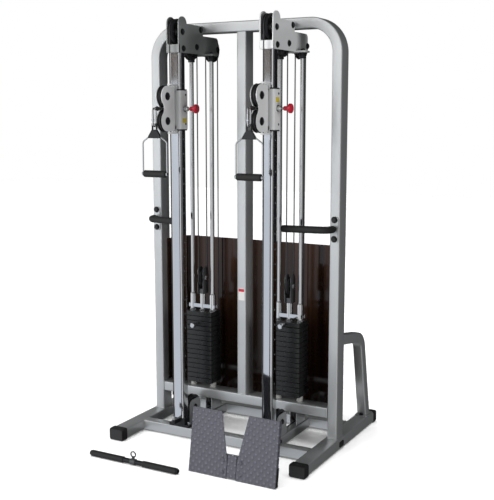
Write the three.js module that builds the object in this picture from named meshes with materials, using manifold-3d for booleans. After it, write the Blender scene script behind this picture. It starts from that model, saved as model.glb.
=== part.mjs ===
// Dual-column cable crossover machine: a bent-tube arch on two feet, a chrome column with a sliding
// pulley carriage at each station, and a selector weight stack behind each column.
// Millimetres, +X to the user's right, +Y to the back, +Z up. The origin is on the floor, in the
// middle of the whole footprint. Everything is built about the arch's own plane (y = 0) and shifted once.
import * as THREE from "three";
import { mergeVertices } from "three/addons/utils/BufferGeometryUtils.js";
import Module from "manifold-3d";

const wasm = await Module();
wasm.setup();

// ---- driving dimensions -------------------------------------------------------------------------
const GAP = 0.3; // clearance between pieces that touch

const STATION_X = 252; // column, stack and cable plane of each station, from the middle
const UPRIGHT_X = 505; // middle of each arch leg
const TUBE_W = 51; // frame tube across
const TUBE_D = 80; // frame tube front to back
const ARCH_TOP = 2080;
const ARCH_BEND = 140; // middle radius of the arch's two bends

const FOOT_W = 76;
const FOOT_TOP = 57;
const FOOT_BOTTOM = 4;
const FOOT_FRONT = -412;
const FOOT_REAR = 446;
const CAP_LENGTH = 29; // rubber cap beyond the foot tube
const CAP_OVERLAP = 12;
const CAP_WALL = 4;

const FLOOR_TUBE = 51; // square tube of the floor members
const FRONT_MEMBER_Y = -247; // front face of the front member, flush with the columns
const REAR_MEMBER_Y = 195;

const CROSSBAR_TOP = 209;

const COLUMN_HALF_X = 29;
const COLUMN_FRONT = -247;
const COLUMN_REAR = -197;
const COLUMN_BASE = 104;
const COLUMN_TOP = 1955;
const COLUMN_CORNER = 8;
const HOLE_PITCH = 72.5; // pin holes down the column's right face
const HOLE_COUNT = 20;
const HOLE_LOWEST = 352.5;
const HOLE_R = 6;
const HOLE_DEPTH = 12;
const PIN_Y = -222;

const CARRIAGE_Z = 1657.5; // pin height of the carriage as stored
const SLEEVE_LOW = 1555;
const SLEEVE_HIGH = 1750;
const SLEEVE_WALL = 9.5;
const SLEEVE_CLEAR = 0.5;

const SWIVEL_Y = -288; // vertical swivel axis of the pulley head, along the cable
const HEAD_AXLE_Y = -338;
const HEAD_AXLE_RISE = 58; // each head axle above or below the carriage height
const HEAD_PLATE_R = 49;
const HEAD_PLATE_IN = 13;
const HEAD_PLATE_OUT = 17;
const HEAD_HALF_HEIGHT = 107;

const CABLE_R = 3;
const SHAFT_R = 9;
const BORE_R = 9.5;
const BIG_RIM = 62;
const BIG_ROOT = 54.3;
const BIG_HALF = 12.5;
const HEAD_RIM = 52.5;
const HEAD_ROOT = 46.4;
const HEAD_HALF = 10;
const FLOAT_RIM = 45;
const FLOAT_ROOT = 38.4;
const FLOAT_HALF = 10;

const TOP_FRONT_PULLEY = { y: -230, z: 2022, r: 58 }; // r is the radius at the cable's middle
const TOP_MID_PULLEY = { y: -101, z: 1958, r: 59 };
const TOP_REAR_PULLEY = { y: 101, z: 1958, r: 59 };
const BASE_FRONT_PULLEY = { y: -118, z: 130, r: 59 };
const BASE_REAR_PULLEY = { y: 101, z: 130, r: 59 };
const FLOAT_PULLEY = { y: 0, z: 790, r: 42 };

const BRACKET_IN = 29.5; // top bracket's side plates, from the station's plane
const BRACKET_OUT = 35.5;
const BRACKET_FRONT = -262;
const BRACKET_REAR = 108;
const BRACKET_BOTTOM = 1924;
const HOLDER_BOTTOM = 1921; // the plate that holds the guide rods' heads
const HOLDER_TOP = 1929;
const COLLAR_BOTTOM = 1893;

const ROD_OFFSET = 59; // each guide rod, left or right of the station's plane
const ROD_R = 11;
const ROD_CLEAR = 1.2;

const PLATE_HALF_X = 80;
const PLATE_HALF_Y = 53;
const PLATE_THICK = 25.4;
const PLATE_COUNT = 15;
const STACK_BASE = 238;
const STEM_R = 9;
const STEM_CLEAR = 2;
const STEM_BOTTOM = 248;
const PICKED_LEFT = 3; // plates above the selector pin, that one included
const PICKED_RIGHT = 1;

const SHROUD_Y = 186;
const SHROUD_LOW = 110;
const SHROUD_HIGH = 980;

const PLATE_LEAN = Math.atan2(47, 298); // footplates lean back
const STRAIGHT_BAR_Y = -660;
const STRAIGHT_BAR_R = 15;
const STRAIGHT_BAR_LEFT = -489;
const STRAIGHT_BAR_RIGHT = 11;

// The footprint runs from the straight bar's front to the feet's rear caps.
const SHIFT_Y = -(STRAIGHT_BAR_Y - STRAIGHT_BAR_R + FOOT_REAR + CAP_LENGTH) / 2;

// ---- materials ----------------------------------------------------------------------------------
const paint = (color, roughness, metalness) => new THREE.MeshStandardMaterial({ color, roughness, metalness });
const SILVER = paint(0xb4b7b8, 0.45, 0.6);
const CHROME = paint(0xe2e4e6, 0.08, 1.0);
const BLACK_STEEL = paint(0x35373a, 0.5, 0.4);
const RUBBER = paint(0x141414, 0.85, 0.0);
const NYLON = paint(0x101112, 0.45, 0.0);
const IRON = paint(0x2e3032, 0.6, 0.3);
const SMOKE = paint(0x1f0f09, 0.1, 0.0);
const TREAD = paint(0x64646c, 0.7, 0.2);
const RED = paint(0xc01428, 0.4, 0.0);
const CABLE = paint(0x55585a, 0.5, 0.3);

// ---- shape helpers ------------------------------------------------------------------------------
function toSolid(geometry) {
  const bare = geometry.clone();
  for (const name of Object.keys(bare.attributes)) {
    if (name !== "position") bare.deleteAttribute(name);
  }
  const merged = mergeVertices(bare, 1e-4);
  const vertProperties = new Float32Array(merged.attributes.position.array);
  const triVerts = new Uint32Array(merged.index.array);
  return new wasm.Manifold(new wasm.Mesh({ numProp: 3, vertProperties, triVerts }));
}

function toGeometry(solid) {
  const mesh = solid.getMesh();
  const geometry = new THREE.BufferGeometry();
  geometry.setAttribute("position", new THREE.BufferAttribute(new Float32Array(mesh.vertProperties), 3));
  geometry.setIndex(new THREE.BufferAttribute(new Uint32Array(mesh.triVerts), 1));
  return geometry;
}

// Joins a list of geometries, then takes another list away.
function shape(parts, holes = []) {
  let solid = toSolid(parts[0]);
  for (const part of parts.slice(1)) solid = solid.add(toSolid(part));
  for (const hole of holes) solid = solid.subtract(toSolid(hole));
  return toGeometry(solid);
}

function box(x0, x1, y0, y1, z0, z1) {
  const geometry = new THREE.BoxGeometry(x1 - x0, y1 - y0, z1 - z0);
  return geometry.translate((x0 + x1) / 2, (y0 + y1) / 2, (z0 + z1) / 2);
}

function rodX(r, x0, x1, y, z, sides = 12) {
  const geometry = new THREE.CylinderGeometry(r, r, x1 - x0, sides);
  return geometry.rotateZ(Math.PI / 2).translate((x0 + x1) / 2, y, z);
}

function rodY(r, x, y0, y1, z, sides = 12) {
  return new THREE.CylinderGeometry(r, r, y1 - y0, sides).translate(x, (y0 + y1) / 2, z);
}

function rodZ(r, x, y, z0, z1, sides = 12) {
  const geometry = new THREE.CylinderGeometry(r, r, z1 - z0, sides);
  return geometry.rotateX(Math.PI / 2).translate(x, y, (z0 + z1) / 2);
}

function polygon(points) {
  return new THREE.Shape(points.map(([a, b]) => new THREE.Vector2(a, b)));
}

// An outline in (y, z), extruded from x0 to x1.
function slabX(outline, x0, x1) {
  const options = { depth: x1 - x0, bevelEnabled: false, curveSegments: 4 };
  const geometry = new THREE.ExtrudeGeometry(outline, options);
  const turn = new THREE.Matrix4().makeBasis(
    new THREE.Vector3(0, 1, 0),
    new THREE.Vector3(0, 0, 1),
    new THREE.Vector3(1, 0, 0),
  );
  return geometry.applyMatrix4(turn).translate(x0, 0, 0);
}

// An outline in (x, z), extruded from y0 to y1.
function slabY(outline, y0, y1) {
  const options = { depth: y1 - y0, bevelEnabled: false, curveSegments: 4 };
  const geometry = new THREE.ExtrudeGeometry(outline, options);
  return geometry.rotateX(Math.PI / 2).translate(0, y1, 0);
}

// An outline in (x, y), extruded from z0 to z1.
function slabZ(outline, z0, z1) {
  const options = { depth: z1 - z0, bevelEnabled: false, curveSegments: 3 };
  const geometry = new THREE.ExtrudeGeometry(outline, options);
  return geometry.translate(0, 0, z0);
}

function roundedRect(x0, x1, y0, y1, r) {
  const outline = new THREE.Shape();
  outline.moveTo(x0 + r, y0);
  outline.lineTo(x1 - r, y0);
  outline.absarc(x1 - r, y0 + r, r, -Math.PI / 2, 0, false);
  outline.lineTo(x1, y1 - r);
  outline.absarc(x1 - r, y1 - r, r, 0, Math.PI / 2, false);
  outline.lineTo(x0 + r, y1);
  outline.absarc(x0 + r, y1 - r, r, Math.PI / 2, Math.PI, false);
  outline.lineTo(x0, y0 + r);
  outline.absarc(x0 + r, y0 + r, r, Math.PI, 1.5 * Math.PI, false);
  return outline;
}

// A polyline with its inner corners rounded to one radius, as 2-D points.
function bentLine(corners, radius, stepsPerBend) {
  const points = [corners[0]];
  for (let i = 1; i < corners.length - 1; i += 1) {
    const corner = corners[i];
    const back = corners[i - 1].clone().sub(corner).normalize();
    const ahead = corners[i + 1].clone().sub(corner).normalize();
    const half = Math.acos(THREE.MathUtils.clamp(back.dot(ahead), -1, 1)) / 2;
    const inward = back.clone().add(ahead).normalize();
    const centre = corner.clone().addScaledVector(inward, radius / Math.sin(half));
    const start = corner.clone().addScaledVector(back, radius / Math.tan(half)).sub(centre);
    const turn = Math.sign(back.cross(ahead)) * -(Math.PI - 2 * half);
    for (let k = 0; k <= stepsPerBend; k += 1) {
      const spoke = start.clone().rotateAround(new THREE.Vector2(), (turn * k) / stepsPerBend);
      points.push(spoke.add(centre));
    }
  }
  points.push(corners[corners.length - 1]);
  return points;
}

// The outline of a bar of constant width laid along 2-D points.
function ribbon(points, halfWidth) {
  const left = [];
  const right = [];
  points.forEach((point, i) => {
    const before = points[Math.max(i - 1, 0)];
    const after = points[Math.min(i + 1, points.length - 1)];
    const inward = point.clone().sub(before).normalize();
    const outward = after.clone().sub(point).normalize();
    const along = inward.add(outward).normalize();
    const across = new THREE.Vector2(-along.y, along.x).multiplyScalar(halfWidth);
    left.push(point.clone().add(across));
    right.unshift(point.clone().sub(across));
  });
  return new THREE.Shape([...left, ...right]);
}

const vec2 = (a, b) => new THREE.Vector2(a, b);

// A path through given 3-D points, one step from each point to the next.
class Route extends THREE.Curve {
  constructor(points) {
    super();
    this.points = points;
  }
  getPoint(t, target = new THREE.Vector3()) {
    const last = this.points.length - 1;
    const place = Math.min(Math.max(t, 0), 1) * last;
    const index = Math.min(Math.floor(place + 1e-6), last - 1);
    return target.copy(this.points[index]).lerp(this.points[index + 1], place - index);
  }
  getPointAt(u, target) {
    return this.getPoint(u, target);
  }
  getTangentAt(u, target = new THREE.Vector3()) {
    const last = this.points.length - 1;
    const index = Math.round(u * last);
    const before = this.points[Math.max(index - 1, 0)];
    const here = this.points[index];
    const after = this.points[Math.min(index + 1, last)];
    const inward = here.clone().sub(before).normalize();
    const outward = after.clone().sub(here).normalize();
    return target.copy(inward.add(outward)).normalize();
  }
}

function roundBar(points, r, sides = 8) {
  const section = new THREE.Shape();
  for (let i = 0; i < sides; i += 1) {
    const angle = (2 * Math.PI * i) / sides;
    const place = [r * Math.cos(angle), r * Math.sin(angle)];
    if (i === 0) section.moveTo(...place);
    else section.lineTo(...place);
  }
  section.closePath();
  const settings = { steps: points.length - 1, extrudePath: new Route(points), bevelEnabled: false };
  return new THREE.ExtrudeGeometry(section, settings);
}

// A grooved cable pulley, turning about X.
function pulley(rim, root, half, segments = 16) {
  const lip = 2.5;
  const grooveFloor = 4.2;
  const profile = [
    [BORE_R, -half],
    [rim - lip, -half],
    [rim, -half + lip],
    [root, -grooveFloor],
    [root, grooveFloor],
    [rim, half - lip],
    [rim - lip, half],
    [BORE_R, half],
    [BORE_R, -half],
  ];
  const geometry = new THREE.LatheGeometry(profile.map(([r, h]) => vec2(r, h)), segments);
  return geometry.rotateZ(Math.PI / 2);
}

const machine = new THREE.Group();
machine.position.y = SHIFT_Y;

function node(name, geometry, material, x = 0, y = 0, z = 0) {
  const mesh = new THREE.Mesh(geometry, material);
  mesh.name = name;
  mesh.position.set(x, y, z);
  machine.add(mesh);
  return mesh;
}

// ---- frame --------------------------------------------------------------------------------------
function archFrame() {
  const topLine = ARCH_TOP - TUBE_W / 2;
  const line = bentLine(
    [
      vec2(-UPRIGHT_X, FOOT_TOP + GAP),
      vec2(-UPRIGHT_X, topLine),
      vec2(UPRIGHT_X, topLine),
      vec2(UPRIGHT_X, FOOT_TOP + GAP),
    ],
    ARCH_BEND,
    8,
  );
  return slabY(ribbon(line, TUBE_W / 2), -TUBE_D / 2, TUBE_D / 2);
}

function centreFrame() {
  const crossbarHalf = UPRIGHT_X - TUBE_W / 2 - GAP;
  return shape([
    box(-crossbarHalf, crossbarHalf, -TUBE_D / 2, TUBE_D / 2, CROSSBAR_TOP - TUBE_W, CROSSBAR_TOP),
    box(-TUBE_W / 2, TUBE_W / 2, -TUBE_D / 2, TUBE_D / 2, CROSSBAR_TOP - 1, ARCH_TOP - TUBE_W - GAP),
  ]);
}

function foot() {
  const half = FOOT_W / 2;
  const capTop = FOOT_TOP + CAP_WALL;
  return shape([
    box(-half, half, FOOT_FRONT, FOOT_REAR, FOOT_BOTTOM, FOOT_TOP),
    box(-half - CAP_WALL, half + CAP_WALL, FOOT_FRONT - CAP_LENGTH, FOOT_FRONT + CAP_OVERLAP, 0, capTop),
    box(-half - CAP_WALL, half + CAP_WALL, FOOT_REAR - CAP_OVERLAP, FOOT_REAR + CAP_LENGTH, 0, capTop),
  ]);
}

function floorMember(y) {
  const half = UPRIGHT_X - FOOT_W / 2 - GAP;
  return box(-half, half, y, y + FLOOR_TUBE, FOOT_TOP - FLOOR_TUBE, FOOT_TOP);
}

// The front member carries a bolted shoe under each column, with a lug for the cable's lower end.
function frontMember() {
  const shoeHalf = 60;
  const lugHalf = 8;
  const lugThick = 20;
  const parts = [floorMember(FRONT_MEMBER_Y)];
  for (const side of [-1, 1]) {
    const x = side * STATION_X;
    const front = FRONT_MEMBER_Y;
    const top = COLUMN_BASE - GAP;
    parts.push(box(x - shoeHalf, x + shoeHalf, front, FRONT_MEMBER_Y + FLOOR_TUBE, FOOT_TOP - 1, top));
    parts.push(box(x - lugHalf, x + lugHalf, SWIVEL_Y - lugHalf, front + 1, top - lugThick, top));
  }
  return shape(parts);
}

function rearBrace() {
  const top = 540;
  const bendY = 292;
  const bendZ = 500;
  const footY = 398;
  const bendRadius = 80;
  const line = bentLine([vec2(0, top + 6), vec2(bendY, bendZ), vec2(footY, 0)], bendRadius, 7);
  const blank = slabX(ribbon(line, TUBE_W / 2), -TUBE_W / 2, TUBE_W / 2);
  const far = 700;
  const upright = box(-far, far, -far, TUBE_D / 2 + GAP, -far, far);
  const below = box(-far, far, -far, far, -far, FOOT_TOP + GAP);
  return shape([blank], [upright, below]);
}

// A floor rail from member to member, with the cheek plates and axle bolts of two base pulleys.
function baseRail() {
  const cheekIn = 16;
  const cheekOut = 20;
  const cheekHalf = 52;
  const cheekTop = 172;
  const bolt = 7;
  const half = FLOOR_TUBE / 2;
  const front = FRONT_MEMBER_Y + FLOOR_TUBE + GAP;
  const parts = [box(-half, half, front, REAR_MEMBER_Y - GAP, FOOT_TOP - FLOOR_TUBE, FOOT_TOP)];
  for (const { y, z } of [BASE_FRONT_PULLEY, BASE_REAR_PULLEY]) {
    const outline = roundedRect(y - cheekHalf, y + cheekHalf, FOOT_TOP - 1, cheekTop, 14);
    parts.push(slabX(outline, cheekIn, cheekOut));
    parts.push(slabX(outline, -cheekOut, -cheekIn));
    parts.push(rodX(SHAFT_R, -cheekOut, cheekOut, y, z));
    parts.push(rodX(SHAFT_R + 4, cheekOut - 1, cheekOut + bolt, y, z, 6));
    parts.push(rodX(SHAFT_R + 4, -cheekOut - bolt, -cheekOut + 1, y, z, 6));
  }
  return shape(parts);
}

// A chrome guide column with its row of pin holes in the right face.
function column() {
  const outline = roundedRect(-COLUMN_HALF_X, COLUMN_HALF_X, COLUMN_FRONT, COLUMN_REAR, COLUMN_CORNER);
  const holes = [];
  for (let i = 0; i < HOLE_COUNT; i += 1) {
    const z = HOLE_LOWEST + i * HOLE_PITCH;
    holes.push(rodX(HOLE_R, COLUMN_HALF_X - HOLE_DEPTH, COLUMN_HALF_X + 5, PIN_Y, z, 6));
  }
  return shape([slabZ(outline, COLUMN_BASE, COLUMN_TOP)], holes);
}

// Two side plates clasp the column's head and the arch, and hold the three top pulleys.
function bracketOutline() {
  const lugR = 36;
  const lugY = BRACKET_FRONT + lugR;
  const lugZ = 2058;
  const shoulder = 2062;
  const archFront = -TUBE_D / 2 - GAP;
  const rearTop = 2015;
  const outline = new THREE.Shape();
  outline.moveTo(BRACKET_FRONT, BRACKET_BOTTOM);
  outline.lineTo(BRACKET_REAR - 12, BRACKET_BOTTOM);
  outline.lineTo(BRACKET_REAR, BRACKET_BOTTOM + 12);
  outline.lineTo(BRACKET_REAR, rearTop);
  outline.lineTo(archFront, rearTop);
  outline.lineTo(archFront, shoulder);
  outline.lineTo(lugY + lugR, shoulder);
  outline.absarc(lugY, lugZ, lugR, 0, Math.PI, false);
  outline.closePath();
  return outline;
}

function topBracket() {
  const spacer = 15;
  const spacerR = 14;
  const head = 8;
  const headR = 14;
  const tieThick = 8;
  const tieTop = 1962;
  const holderHalfX = 83;
  const holderHalfY = 32;
  const collarR = 17;
  const outline = bracketOutline();
  const parts = [
    slabX(outline, BRACKET_IN, BRACKET_OUT),
    slabX(outline, -BRACKET_OUT, -BRACKET_IN),
    box(-BRACKET_OUT, BRACKET_OUT, BRACKET_FRONT, BRACKET_FRONT + tieThick, BRACKET_BOTTOM, tieTop),
    box(-holderHalfX, holderHalfX, -holderHalfY, holderHalfY, HOLDER_BOTTOM, HOLDER_TOP),
  ];
  for (const { y, z } of [TOP_FRONT_PULLEY, TOP_MID_PULLEY, TOP_REAR_PULLEY]) {
    parts.push(rodX(SHAFT_R, -BRACKET_IN, BRACKET_IN, y, z));
    parts.push(rodX(spacerR, spacer, BRACKET_IN, y, z));
    parts.push(rodX(spacerR, -BRACKET_IN, -spacer, y, z));
  }
  for (const [y, z] of [
    [TOP_FRONT_PULLEY.y, TOP_FRONT_PULLEY.z],
    [TOP_MID_PULLEY.y, TOP_MID_PULLEY.z],
    [-222, 1944],
    [-62, 2044],
  ]) {
    parts.push(rodX(headR, BRACKET_OUT - 1, BRACKET_OUT + head, y, z, 6));
    parts.push(rodX(headR, -BRACKET_OUT - head, -BRACKET_OUT + 1, y, z, 6));
  }
  const holes = [];
  for (const side of [-1, 1]) {
    parts.push(rodZ(collarR, side * ROD_OFFSET, 0, COLLAR_BOTTOM, HOLDER_BOTTOM + 1));
    holes.push(rodZ(ROD_R + GAP, side * ROD_OFFSET, 0, COLLAR_BOTTOM - 5, HOLDER_BOTTOM));
  }
  return shape(parts, holes);
}

function guideRod() {
  return rodZ(ROD_R, 0, 0, CROSSBAR_TOP + GAP, HOLDER_BOTTOM - GAP);
}

// A bent sheet behind the stacks, its side wings notched to clear the lower crossbar.
function rearShroud() {
  const wall = 2;
  const edge = UPRIGHT_X - TUBE_W / 2 - GAP - wall;
  const half = edge - 30;
  const shoulderY = SHROUD_Y - 60;
  const line = [
    vec2(-edge, 8),
    vec2(-edge, shoulderY),
    vec2(-half, SHROUD_Y),
    vec2(half, SHROUD_Y),
    vec2(edge, shoulderY),
    vec2(edge, 8),
  ];
  const notch = box(-UPRIGHT_X, UPRIGHT_X, 0, TUBE_D / 2 + 2, SHROUD_LOW - 1, CROSSBAR_TOP + 2);
  return shape([slabZ(ribbon(line, wall), SHROUD_LOW, SHROUD_HIGH)], [notch]);
}

// ---- footplates ---------------------------------------------------------------------------------
// One footplate standing on the floor line, front face on y = 0; side is +1 for the right one.
function footplate(side) {
  const outline = polygon([
    [24, 2],
    [224, 2],
    [223, 302],
    [70, 302],
    [30, 110],
  ].map(([x, z]) => [side * x, z]));
  const thick = 5;
  const flange = 22;
  const outer = side * 224;
  const inner = side * 219;
  return shape([
    slabY(outline, 0, thick),
    box(Math.min(outer, inner), Math.max(outer, inner), 0, flange, 8, 300),
  ]);
}

// The rail that runs forward under the right station, and the leaning plate that both footplates bolt to.
function footplateSupport() {
  const reach = 332;
  const half = FLOOR_TUBE / 2;
  const back = new THREE.BoxGeometry(150, 8, 108).translate(0, 9.5, 60);
  const filler = new THREE.BoxGeometry(46, 9, 104).translate(0, 5, 58);
  const leaning = [back, filler].map((piece) => piece.rotateX(-PLATE_LEAN).translate(0, FOOTPLATE_Y, 0));
  const rail = box(-half, half, FOOTPLATE_Y + 12, FRONT_MEMBER_Y - GAP, FOOT_TOP - FLOOR_TUBE, FOOT_TOP);
  const gusset = slabX(polygon([[0, 0], [reach / 3, 0], [8, 60]]), -4, 4);
  return shape([rail, ...leaning, gusset.translate(0, FOOTPLATE_Y + 14, FOOT_TOP - 2)]);
}
const FOOTPLATE_Y = -600;

// ---- carriage and pulley head -------------------------------------------------------------------
// The sleeve on a column, its swivel lugs and the pull pin's housing.
function carriage() {
  const inX = COLUMN_HALF_X + SLEEVE_CLEAR;
  const outX = inX + SLEEVE_WALL;
  const inFront = COLUMN_FRONT - SLEEVE_CLEAR;
  const inRear = COLUMN_REAR + SLEEVE_CLEAR;
  const outer = roundedRect(-outX, outX, inFront - SLEEVE_WALL, inRear + SLEEVE_WALL, 12);
  const inner = roundedRect(-inX, inX, inFront, inRear, COLUMN_CORNER);
  const lugHalf = 14;
  const lugThick = 9;
  const lugFront = SWIVEL_Y - 14;
  const lugBack = inFront - 2;
  const lugClear = 3;
  const housingR = 12;
  const housingEnd = 62;
  const backLug = 20;
  const parts = [slabZ(outer, SLEEVE_LOW, SLEEVE_HIGH)];
  const holes = [slabZ(inner, SLEEVE_LOW - 5, SLEEVE_HIGH + 5)];
  for (const side of [-1, 1]) {
    const near = CARRIAGE_Z + side * (HEAD_HALF_HEIGHT + lugClear);
    const far = near + side * lugThick;
    parts.push(box(-lugHalf, lugHalf, lugFront, lugBack, Math.min(near, far), Math.max(near, far)));
    const tie = side > 0 ? [SLEEVE_HIGH - 15, far] : [far, SLEEVE_LOW + 15];
    parts.push(box(-lugHalf, lugHalf, inFront - SLEEVE_WALL, lugBack, tie[0], tie[1]));
    holes.push(rodZ(CABLE_R + 3, 0, SWIVEL_Y, Math.min(near, far) - 2, Math.max(near, far) + 2, 12));
  }
  parts.push(rodX(housingR, outX - 2, housingEnd, PIN_Y, CARRIAGE_Z));
  holes.push(rodX(PULL_PIN_R + GAP, inX - 5, housingEnd + 5, PIN_Y, CARRIAGE_Z, 12));
  const lugRear = inRear + SLEEVE_WALL;
  parts.push(box(-8, 8, lugRear - 1, lugRear + 20, SLEEVE_LOW, SLEEVE_LOW + backLug));
  holes.push(rodZ(CABLE_R + 2, 0, CABLE_BACK_Y, SLEEVE_LOW - 2, SLEEVE_LOW + backLug + 2, 12));
  return shape(parts, holes);
}
const PULL_PIN_R = 5;
const CABLE_BACK_Y = BASE_FRONT_PULLEY.y - BASE_FRONT_PULLEY.r;

// The pull pin with its round knob, along X, drawn clear of the column.
function pullPin() {
  const tip = COLUMN_HALF_X + GAP;
  const neck = 76;
  const end = 112;
  return shape([
    rodX(PULL_PIN_R, tip, end - 5, PIN_Y, CARRIAGE_Z, 12),
    rodX(7, neck - 4, neck + 3, PIN_Y, CARRIAGE_Z, 12),
    rodX(11, neck, end - 14, PIN_Y, CARRIAGE_Z, 12),
    rodX(22, end - 16, end, PIN_Y, CARRIAGE_Z, 16),
  ]);
}

function headPlateOutline() {
  const rear = SWIVEL_Y + 12;
  const cornerR = 16;
  const high = HEAD_AXLE_RISE;
  const top = HEAD_HALF_HEIGHT;
  const outline = new THREE.Shape();
  outline.moveTo(HEAD_AXLE_Y, -top);
  outline.lineTo(rear - cornerR, -top);
  outline.absarc(rear - cornerR, -top + cornerR, cornerR, -Math.PI / 2, 0, false);
  outline.lineTo(rear, top - cornerR);
  outline.absarc(rear - cornerR, top - cornerR, cornerR, 0, Math.PI / 2, false);
  outline.lineTo(HEAD_AXLE_Y, top);
  outline.absarc(HEAD_AXLE_Y, high, HEAD_PLATE_R, Math.PI / 2, Math.PI, false);
  outline.absarc(HEAD_AXLE_Y, -high, HEAD_PLATE_R, Math.PI, 1.5 * Math.PI, false);
  return outline;
}

// The swivelling head: two plates, two axle bolts and the pivot blocks that the cable runs through.
function pulleyHead() {
  const bolt = 7;
  const boltR = 13;
  const pivotLow = 94.5;
  const outline = headPlateOutline();
  const plates = [
    slabX(outline, HEAD_PLATE_IN, HEAD_PLATE_OUT),
    slabX(outline, -HEAD_PLATE_OUT, -HEAD_PLATE_IN),
  ];
  const holes = [];
  for (const side of [-1, 1]) {
    const z = side * HEAD_AXLE_RISE;
    plates.push(rodX(SHAFT_R, -HEAD_PLATE_OUT, HEAD_PLATE_OUT, HEAD_AXLE_Y, z));
    plates.push(rodX(boltR, HEAD_PLATE_OUT - 1, HEAD_PLATE_OUT + bolt, HEAD_AXLE_Y, z, 6));
    plates.push(rodX(boltR, -HEAD_PLATE_OUT - bolt, -HEAD_PLATE_OUT + 1, HEAD_AXLE_Y, z, 6));
    const low = Math.min(side * pivotLow, side * HEAD_HALF_HEIGHT);
    const high = Math.max(side * pivotLow, side * HEAD_HALF_HEIGHT);
    const half = HEAD_PLATE_IN + 1;
    plates.push(box(-half, half, SWIVEL_Y - 9, SWIVEL_Y + 11, low, high));
    holes.push(rodZ(CABLE_R + 2, 0, SWIVEL_Y, low - 2, high + 2, 12));
  }
  return shape(plates, holes).translate(0, 0, CARRIAGE_Z);
}

// The cable's free end: a short run out of the head, its ball stop and a snap hook.
function cableEnd() {
  const ballY = -400;
  const ballR = 11;
  const snapOuter = 18;
  const snapWall = 9;
  const snapTop = 1663;
  const snapLow = 1571;
  const snapY = -424;
  const bottom = snapLow + snapOuter;
  const crown = snapTop - snapOuter;
  const link = (r) => roundedRect(snapY - r, snapY + r, bottom - r, crown + r, r - 0.5);
  const ball = new THREE.SphereGeometry(ballR, 10, 6).translate(0, ballY, CARRIAGE_Z);
  const stub = rodY(CABLE_R, 0, ballY, SWIVEL_Y - CABLE_R - GAP, CARRIAGE_Z, 8);
  const snap = slabX(link(snapOuter), -4.5, 4.5);
  const eye = slabX(link(snapOuter - snapWall), -10, 10);
  return shape([shape([snap], [eye]), ball, stub]);
}

const STIRRUP = { y: -424, pivotZ: 1586, topZ: 1560, lowZ: 1520, gripZ: 1353, half: 63, gripR: 17 };

// A stirrup handle: the pivot loop and black yoke at the top, two thin side bars and the round grip.
function stirrup() {
  const { y, pivotZ, topZ, lowZ, gripZ, half, gripR } = STIRRUP;
  const bar = 3.5;
  const topHalf = 36;
  const yokeDepth = 8;
  const outline = polygon([[-14, topZ], [-topHalf, lowZ], [topHalf, lowZ], [14, topZ]]);
  const yoke = slabY(outline, y - yokeDepth, y + yokeDepth);
  const parts = [yoke, rodX(4, -14, 14, y, pivotZ, 10), rodX(gripR, -half, half, y, gripZ, 16)];
  for (const side of [-1, 1]) {
    const ear = [side * 10, side * 14].sort((a, b) => a - b);
    parts.push(box(ear[0], ear[1], y - 5, y + 5, topZ - 2, pivotZ + 5));
    const top = new THREE.Vector3(side * (topHalf - 6), y, lowZ + 8);
    const knee = new THREE.Vector3(side * (half + bar + 1), y, gripZ + 150);
    const low = new THREE.Vector3(side * (half + bar + 1), y, gripZ);
    parts.push(roundBar([top, knee, low], bar));
    const eye = [side * (half - 4), side * (half + 9)].sort((a, b) => a - b);
    parts.push(rodX(bar + 3, eye[0], eye[1], y, gripZ, 10));
  }
  return shape(parts);
}

// ---- weight stack -------------------------------------------------------------------------------
function plateBlock(low, count) {
  const groove = 1;
  const inset = 2;
  const high = low + count * PLATE_THICK;
  const halfX = PLATE_HALF_X - inset;
  const halfY = PLATE_HALF_Y - inset;
  const parts = [box(-halfX, halfX, -halfY, halfY, low, high)];
  for (let i = 0; i < count; i += 1) {
    const z = low + i * PLATE_THICK;
    const foot = z + (i ? groove : 0);
    parts.push(box(-PLATE_HALF_X, PLATE_HALF_X, -PLATE_HALF_Y, PLATE_HALF_Y, foot, z + PLATE_THICK));
  }
  return parts;
}

function rodHoles(low, high, clearance) {
  return [-1, 1].map((side) => rodZ(ROD_R + clearance, side * ROD_OFFSET, 0, low - 5, high + 5));
}

// The plates left on the cushions, with the bore that the selector stem drops into.
function restingPlates(count) {
  const high = STACK_BASE + count * PLATE_THICK;
  const cushions = [-1, 1].map((side) => rodZ(17, side * ROD_OFFSET, 0, CROSSBAR_TOP + GAP, STACK_BASE + 1));
  const stem = rodZ(STEM_R + STEM_CLEAR, 0, 0, STACK_BASE - 5, high + 5);
  const holes = [...rodHoles(CROSSBAR_TOP, high, ROD_CLEAR), stem];
  return shape([...plateBlock(STACK_BASE, count), ...cushions], holes);
}

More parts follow.
